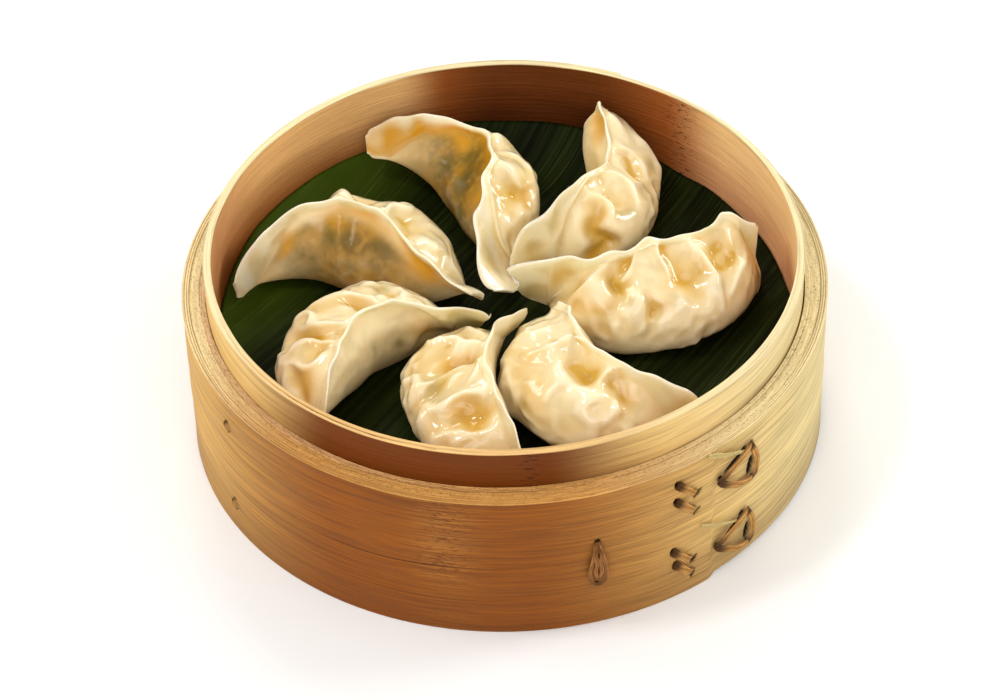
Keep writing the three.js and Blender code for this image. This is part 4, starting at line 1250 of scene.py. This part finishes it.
    # nothing in dough is quite straight: places are shifted by slow waves
    bentX = x + doughSizes["wander"] * waves(points, doughSizes["wanderLength"], seed + 210)
    bentY = y + doughSizes["wander"] * waves(points, doughSizes["wanderLength"], seed + 220)
    hollows = softSpots(gyoza["hollows"], bentX, bentY, length)
    ridges = foldRidges(gyoza["ridges"], bentX, bentY, length)
    raised = np.clip((loopUp - 0.2) / 0.12, 0, 1)[None, :]
    nearCrest = np.clip((1.0 - loopUp) / 0.08, 0.25, 1)[None, :]
    solidity = (0.3 + 0.7 * filling)[:, None]
    onFilling = filling[:, None] * raised * np.clip((0.88 - loopUp) / 0.1, 0, 1)[None, :]
    # fine wrinkles come in patches, and are fainter on the smooth side
    wrinkled = np.where(loopSide < 0, 0.25, 1.0) * np.clip(0.35 + 0.7 * waves(points, 19.0, seed + 90), 0, 1)
    lumps = (0.24 * waves(points, 15.0, seed) + 0.2 * wrinkled * waves(points, 5.5, seed + 50)
             + 0.34 * wrinkled * (0.4 - np.abs(waves(points, 8.5, seed + 70))))
    seamWave = 0.5 * waves(points * (1, 1, 0.2), 12.0, seed + 130) * np.clip((loopUp - 0.7) / 0.2, 0, 1)
    seamRise = 0.3 * waves(points * (1, 1, 0.1), 9.0, seed + 170) * np.clip((loopUp - 0.8) / 0.15, 0, 1)
    nearTip = ease(fromEnd / doughSizes["tipFade"])[:, None]
    push = ((ridges - hollows) * raised * nearCrest * solidity + onFilling * lumps) * nearTip
    points = points + normals * (push * narrow[:, None])[..., None]
    points[..., :2] += across[:, None, :] * (seamWave * narrow[:, None])[..., None]
    points[..., 2] = np.maximum(points[..., 2] + seamRise * narrow[:, None], doughSizes["level"])

    # masks for the colour of the dough
    smoothed = smoothGrid(points, doughSizes["hollowRounds"])
    hollow = ((smoothed - points) * gridNormals(points, middleLine)).sum(-1)
    greens = softSpots([(a, b, r, r, 1.0) for a, b, r in gyoza["greens"]], x, y, length)
    seen = np.clip((loopUp - 0.05) / 0.1, 0, 1) * ease((1 - gyoza["shows"] - loopUp) / 0.11)
    masks = {
        "hollow": np.clip(hollow / doughSizes["hollowDepth"], -1, 1),
        "amber": np.clip(hollows / doughSizes["amberDepth"], 0, 1.2),
        "green": np.clip(greens, 0, 1),
        "filling": gyoza["mottle"] * np.sqrt(filling)[:, None] * seen,
        "smoothSide": np.clip(0.5 - away / 0.06, 0, 1),
        "thin": ease(1 - filling / 0.35)[:, None],
        "sheer": np.clip(softSpots(gyoza["sheers"], bentX, bentY, length), 0, 1),
        "gold": np.clip(1.25 * softSpots(gyoza["golds"], bentX, bentY, length), 0, 1),
        "seamEdge": np.clip((loopUp - 0.9 + 0.05 * waves(points, 11.0, seed + 300)) / 0.1, 0, 1),
        "down": 1 - loopUp,
    }
    return points, {key: np.broadcast_to(mask, hollow.shape) for key, mask in masks.items()}


def makeGyoza(name, gyoza, seed, finish, node):
    points, masks = shapeGyoza(gyoza, seed)
    rows, columns = points.shape[:2]
    quads = gridQuads(rows, columns)
    # close both tips with a point
    tips = np.stack([points[0].mean(0), points[-1].mean(0)])
    flat = np.concatenate([points.reshape(-1, 3), tips])
    j = np.arange(columns)
    k = (j + 1) % columns
    firstFan = np.stack([np.full(columns, rows * columns), j, k], -1)
    lastBase = (rows - 1) * columns
    lastFan = np.stack([np.full(columns, rows * columns + 1), lastBase + k, lastBase + j], -1)
    faces = quads.tolist() + firstFan.tolist() + lastFan.tolist()
    if signedVolume(flat, quads) < 0:
        faces = [face[::-1] for face in faces]
    padded = {key: np.concatenate([mask.ravel(), mask[0].mean(keepdims=True), mask[-1].mean(keepdims=True)])
              for key, mask in masks.items()}
    addPiece(name, flat, faces, finish, [node], padded)


# the hollow tones are partly painted shade and the core tone is painted shade; pale is partly painted light
doughTones = {
    "creamy": rgb(242, 224, 178), "golden": rgb(230, 192, 88), "glassy": rgb(208, 190, 142),
    "fillingHigh": rgb(214, 146, 14), "fillingLow": rgb(122, 88, 8), "broth": rgb(172, 122, 10),
    "meat": rgb(78, 68, 18), "fat": rgb(196, 148, 60), "leafy": rgb(88, 78, 12),
    "hollow": rgb(216, 168, 22), "hollowShade": rgb(138, 102, 14), "airy": rgb(224, 192, 134),
    "sheer": rgb(184, 164, 112), "gold": rgb(214, 164, 52), "smoothGold": rgb(208, 148, 8),
    "pale": rgb(252, 238, 206),
}


def makeDough():
    material, shader, place = newMaterial("steamedDough")
    names = ("hollow", "amber", "green", "filling", "smoothSide", "thin", "sheer", "gold", "seamEdge", "down")
    hollow, amber, green, filling, smoothSide, thin, sheer, gold, seamEdge, down = (
        readAttribute(shader, name) for name in names)
    tones = doughTones
    cloudy = noiseAt(place, 95.0)
    patchy, speckle = (noiseAt(place, scale, 1.0) for scale in (150.0, 300.0))
    # pleated side: thick creamy dough, golden in patches and low down, where the gold is partly painted shade
    lowDown = times(filling, remap(plus(down, times(cloudy, 0.6)), 0.5, 1.1))
    patches = times(filling, remap(patchy, 0.46, 0.66, 0.0, 0.38))
    glassy = remap(noiseAt(place, 120.0, w=7.0), 0.48, 0.68, 0.0, 0.45)
    golden = larger(times(lowDown, 0.2), patches)
    pleated = paint(tones["creamy"], (golden, tones["golden"]), (glassy, tones["glassy"]))
    # smooth side: stretched thin, so the filling shows through it
    meaty = times(remap(patchy, 0.38, 0.7, 0.0, 0.6), remap(down, 0.1, 0.26))
    under = paint(tones["fillingHigh"], (remap(down, 0.08, 0.3), tones["fillingLow"]),
                  (remap(cloudy, 0.42, 0.58, 0.0, 0.7), tones["broth"]), (meaty, tones["meat"]),
                  (remap(speckle, 0.48, 0.72, 0.0, 0.4), tones["fat"]))
    showing = times(filling, smoothSide)
    leafy = times(green, remap(patchy, 0.35, 0.6, 0.25, 1.0))
    leafy = times(leafy, scaled(smoothSide, 0.15, 0.5))
    # hollows: amber where the dough lies thin on the filling, partly painted shade; the darkest core is
    # painted shade
    deep = larger(remap(hollow, 0.1, 0.9), times(amber, 0.9))
    deep = times(deep, scaled(smoothSide, -0.4, 1.0))
    hollowShade = remap(times(amber, scaled(cloudy, 1.2, 0.4)), 0.8, 1.7)
    # thin dough without filling: grayer, half see-through
    airy = times(thin, remap(cloudy, 0.3, 0.65, 0.15, 0.6))
    amberDough = blendColor(smoothSide, tones["gold"], tones["smoothGold"])
    # pale folds and seam: thicker dough, partly painted light on the convex folds and the seam's edge
    pale = larger(remap(hollow, -0.1, -0.8), seamEdge)
    pale = times(pale, minus(1.0, times(showing, 0.6)))
    pale = times(pale, scaled(gold, -0.5, 1.0))
    color = paint(pleated, (showing, under), (leafy, tones["leafy"]),
                  (times(deep, 0.9), tones["hollow"]), (times(hollowShade, 0.6), tones["hollowShade"]),
                  (airy, tones["airy"]), (times(sheer, 0.8), tones["sheer"]),
                  (times(gold, 0.95), amberDough), (times(pale, 0.65), tones["pale"]))
    skin = plus(noiseAt(place, 600.0), times(patchy, 2.0))
    finishWith(shader, color, scaled(smoothSide, 0.15, 0.36), skin, 0.0001, 0.13)
    fill(shader, {
        "Subsurface Weight": 0.5, "Subsurface Radius": (0.9, 0.93, 0.62), "Subsurface Scale": 0.0045,
        "Coat Weight": scaled(smoothSide, -0.92, 1.0), "Coat Roughness": 0.1})
    return material


steamedDough = makeDough()
for number, shape in enumerate(gyozaShapes, 1):
    makeGyoza(f"gyozaDough{number}", shape, 40 + number, steamedDough, f"gyoza_{number}")
print("gyoza folded:", len(gyozaShapes))


# rattan strands, by geometry nodes

strandSizes = {"Width": 0.002, "Thickness": 0.0009, "Taper": 0.3, "Pinch": 0.0, "Fray": 0.0001, "Seed": 3}


def makeStrandTree(sizes):
    tree, given, out = newGrowth("rattanStrand", sizes)

    def store(geometry, name, value):
        return made(tree, "GeometryNodeStoreNamedAttribute", {
            "Geometry": geometry, "Name": name, "Value": value}, data_type="FLOAT")

    curve = made(tree, "GeometryNodeMeshToCurve", {0: given["Geometry"]})
    curve = made(tree, "GeometryNodeCurveSplineType", {0: curve}, spline_type="CATMULL_ROM")
    curve = made(tree, "GeometryNodeResampleCurve", {"Curve": curve, "Count": 70})
    # the flat side lies on the hoop
    flatSpot = vectorCalc("MULTIPLY", {0: made(tree, "GeometryNodeInputPosition"), 1: (1, 1, 0)})[0]
    outward = vectorCalc("NORMALIZE", {0: flatSpot})[0]
    curve = made(tree, "GeometryNodeSetCurveNormal", {"Curve": curve, "Normal": outward}, mode="FREE")
    run = wire(tree, "GeometryNodeSplineParameter").outputs
    tapered = times(calc("POWER", run["Factor"], 1.5), given["Taper"])
    pinched = times(calc("SINE", times(run["Factor"], math.pi)), given["Pinch"])
    size = minus(minus(1.0, tapered), pinched)
    curve = made(tree, "GeometryNodeSetCurveRadius", {"Curve": curve, "Radius": size})
    curve = store(store(curve, "lengthwise", run["Length"]), "share", run["Factor"])
    circle = made(tree, "GeometryNodeCurvePrimitiveCircle", {"Resolution": 20, "Radius": 0.5})
    oval = made(tree, "GeometryNodeTransform", {
        "Geometry": circle, "Scale": packVector(given["Thickness"], given["Width"], 1.0)})
    oval = store(oval, "around", wire(tree, "GeometryNodeSplineParameter").outputs["Factor"])
    radius = made(tree, "GeometryNodeInputRadius")
    body = made(tree, "GeometryNodeCurveToMesh", {
        "Curve": curve, "Profile Curve": oval, "Scale": radius, "Fill Caps": True})
    moved = roughen(body, 900.0, 2.0, given["Seed"], given["Fray"])
    dressAs(out, made(tree, "GeometryNodeSetShadeSmooth", {0: moved}), given["Finish"])
    return tree


endShadeColor = rgb(40, 15, 7)  # painted shade on a strand's ends


def makeCane(name, base, dark, roughness, endShade):
    material, shader, _ = newMaterial(name)
    lengthwise = times(readAttribute(shader, "lengthwise"), perMetre)
    turn = times(readAttribute(shader, "around"), 2 * math.pi)
    ring = (times(calc(kind, turn), 2.5) for kind in ("COSINE", "SINE"))
    vector = packVector(*ring, times(lengthwise, 0.12))
    fibres = remap(noiseAt(vector, 1.6, 3.0, 0.6), 0.35, 0.65)
    # painted shade: the ends darken towards where they go into the holes
    share = readAttribute(shader, "share")
    endShadeShare = larger(remap(share, 0.42, 0.05), remap(share, 0.88, 0.98))
    color = paint(dark, (fibres, base), (times(endShadeShare, endShade), endShadeColor))
    finishWith(shader, color, roughness, fibres, 0.0002, 0.15)
    return material


rattanCane = makeCane("rattanCane", rgb(232, 178, 98), rgb(168, 104, 42), 0.6, 0.85)
loopCane = makeCane("loopCane", rgb(214, 150, 84), rgb(140, 78, 32), 0.5, 0.45)
rawCane = makeCane("rawCane", rgb(250, 230, 160), rgb(230, 196, 116), 0.8, 0.0)
rattanStrand = makeStrandTree(strandSizes)
strandBed = 100.35  # radius of the hoop's face and the clearance of what lies on it


# the points of a path: degrees round the basket, height, and how far the strand stands off
def strandPoints(paths, thickness):
    points, edges = [], []
    for path in paths:
        for i, (angle, z, off) in enumerate(path):
            radius = strandBed + thickness / 2 + off
            turn = math.radians(angle)
            if i:
                edges.append((len(points) - 1, len(points)))
            points.append((radius * math.cos(turn) * mm, radius * math.sin(turn) * mm, z * mm))
    return points, edges


# paths from where a strand starts: degrees on, height up, and how far it stands off
loopHalves = [
    [(-0.2, -7.6, 0.3), (1.0, -6.0, 0.6), (1.45, -2.2, 0.8), (1.0, 3.0, 0.7), (0.5, 7, 0.4),
     (0.1, 9.4, -0.6)],
    [(0.1, 9, -0.4), (0.55, 5.6, 0.9), (0.3, 2.4, 1.1), (0.55, -1.5, 1.0), (0.1, -5, 0.3)],
]
strandPaths = {
    "tie": [
        [(-8.2, 0.8, -0.6), (-7.3, 2.4, 0.3), (-4.8, 4.8, 0.45), (-2.7, 6.6, 0.4), (-1.3, 7.4, 0.0),
         (-0.5, 7.2, -0.7)],
        [(-8.1, 0.9, -0.4), (-7.6, -0.4, 0.2), (-5.9, -2.4, 0.35), (-4.0, -4.4, 0.35), (-1.5, -5.9, 0.2),
         (0.1, -6.8, -0.5)],
        [(-0.1, -6.9, -0.5), (0.1, -4.2, 0.3), (0.35, -0.2, 0.45), (0.0, 3.4, 0.35), (-0.4, 5.6, 0.0),
         (-0.5, 6.6, -0.7)],
    ],
    # each half of the chain's links and its mirror image
    "loop": [[(way * turn, rise, off) for turn, rise, off in half] for half in loopHalves for way in (-1, 1)],
    "sliver": [[(0, 0, 0.1), (2.7, -2.6, 0.2), (5.6, -5.1, 0.2), (8.2, -7.3, 0.1)]],
    "peg": [[(-0.8, 1, -0.3), (0, 0, 0.2), (0.9, -1.2, -0.1)]],
    "stitch": [[(0.1, 0.9, -0.6), (0.6, 0.3, 0.3), (1.7, -1.8, 0.45), (2.8, -4.0, 0.4), (3.7, -5.5, -0.6)]],
}
strandFinishes = {
    "tie": rattanCane, "loop": loopCane, "sliver": rawCane, "peg": rattanCane, "stitch": rattanCane,
}

# size: width, thickness, taper and pinch; fray: how rough it is; start: angle and height
strands = [
    {"name": "tieUpper", "node": "tie_upper", "start": (-43.9, 39.2), "size": (2.6, 0.9, 0.1, 0.0),
     "fray": 0.3},
    {"name": "tieLower", "node": "tie_lower", "start": (-44.2, 12.2), "size": (2.5, 0.9, 0.1, 0.0),
     "fray": 0.3},
    {"name": "loopTie", "node": "loop_tie", "start": (-75.7, 25), "size": (1.4, 0.8, 0.1, 0.0), "fray": 0.25},
    {"name": "sliverUpper", "node": "sliver_upper", "start": (-54.8, 53.8), "size": (1.9, 0.5, 0.5, 0.0),
     "fray": 1.2},
    {"name": "sliverLower", "node": "sliver_lower", "start": (-56.1, 26.2), "size": (1.3, 0.5, 0.3, 0.0),
     "fray": 0.4},
    {"name": "pegUpper", "node": "peg_1", "start": (-147.4, 44.5), "size": (1.3, 0.6, 0.3, 0.0), "fray": 0.6},
    {"name": "pegLower", "node": "peg_2", "start": (-147.4, 11.8), "size": (1.3, 0.6, 0.3, 0.0), "fray": 0.6},
]
for number, start in enumerate([(-61.0, 46.4), (-61.2, 39.6), (-61.8, 19.2), (-61.4, 13.4)], 1):
    strands.append({"name": f"stitch{number}", "node": f"stitch_{number}", "start": start,
                    "size": (3.3, 0.8, 0.12, 0.2), "fray": 0.3})

for number, strand in enumerate(strands):
    kind = strand["node"].split("_")[0]
    width, thickness, taper, pinch = strand["size"]
    angle, z = strand["start"]
    paths = [[(angle + turn, z + rise, off) for turn, rise, off in path] for path in strandPaths[kind]]
    points, edges = strandPoints(paths, thickness)
    values = {"Width": width * mm, "Thickness": thickness * mm, "Taper": taper, "Pinch": pinch,
              "Fray": strand["fray"] * mm, "Seed": strandSizes["Seed"] + number,
              "Finish": strandFinishes[kind]}
    growPiece(strand["name"], rattanStrand, values, [strand["node"]], points, edges)
print("rattan tied:", len(strands))


# the table under the basket
def addStudioFloor(size):
    mesh = bpy.data.meshes.new("studioFloor")
    corners = [(-size, -size, 0), (size, -size, 0), (size, size, 0), (-size, size, 0)]
    mesh.from_pydata(corners, [], [(0, 1, 2, 3)])
    material, shader, place = newMaterial("studioPaper")
    tone = remap(noiseAt(place, 900.0), 0.0, 1.0, 0.985, 1.0)
    paper = blendColor(tone, (0.8, 0.8, 0.79, 1), (0.93, 0.93, 0.92, 1))
    fill(shader, {"Base Color": paper, "Roughness": 0.9, "Specular IOR Level": 0.1})
    mesh.materials.append(material)
    floor = bpy.data.objects.new("studioFloor", mesh)
    scene.collection.objects.link(floor)


addStudioFloor(6.0)
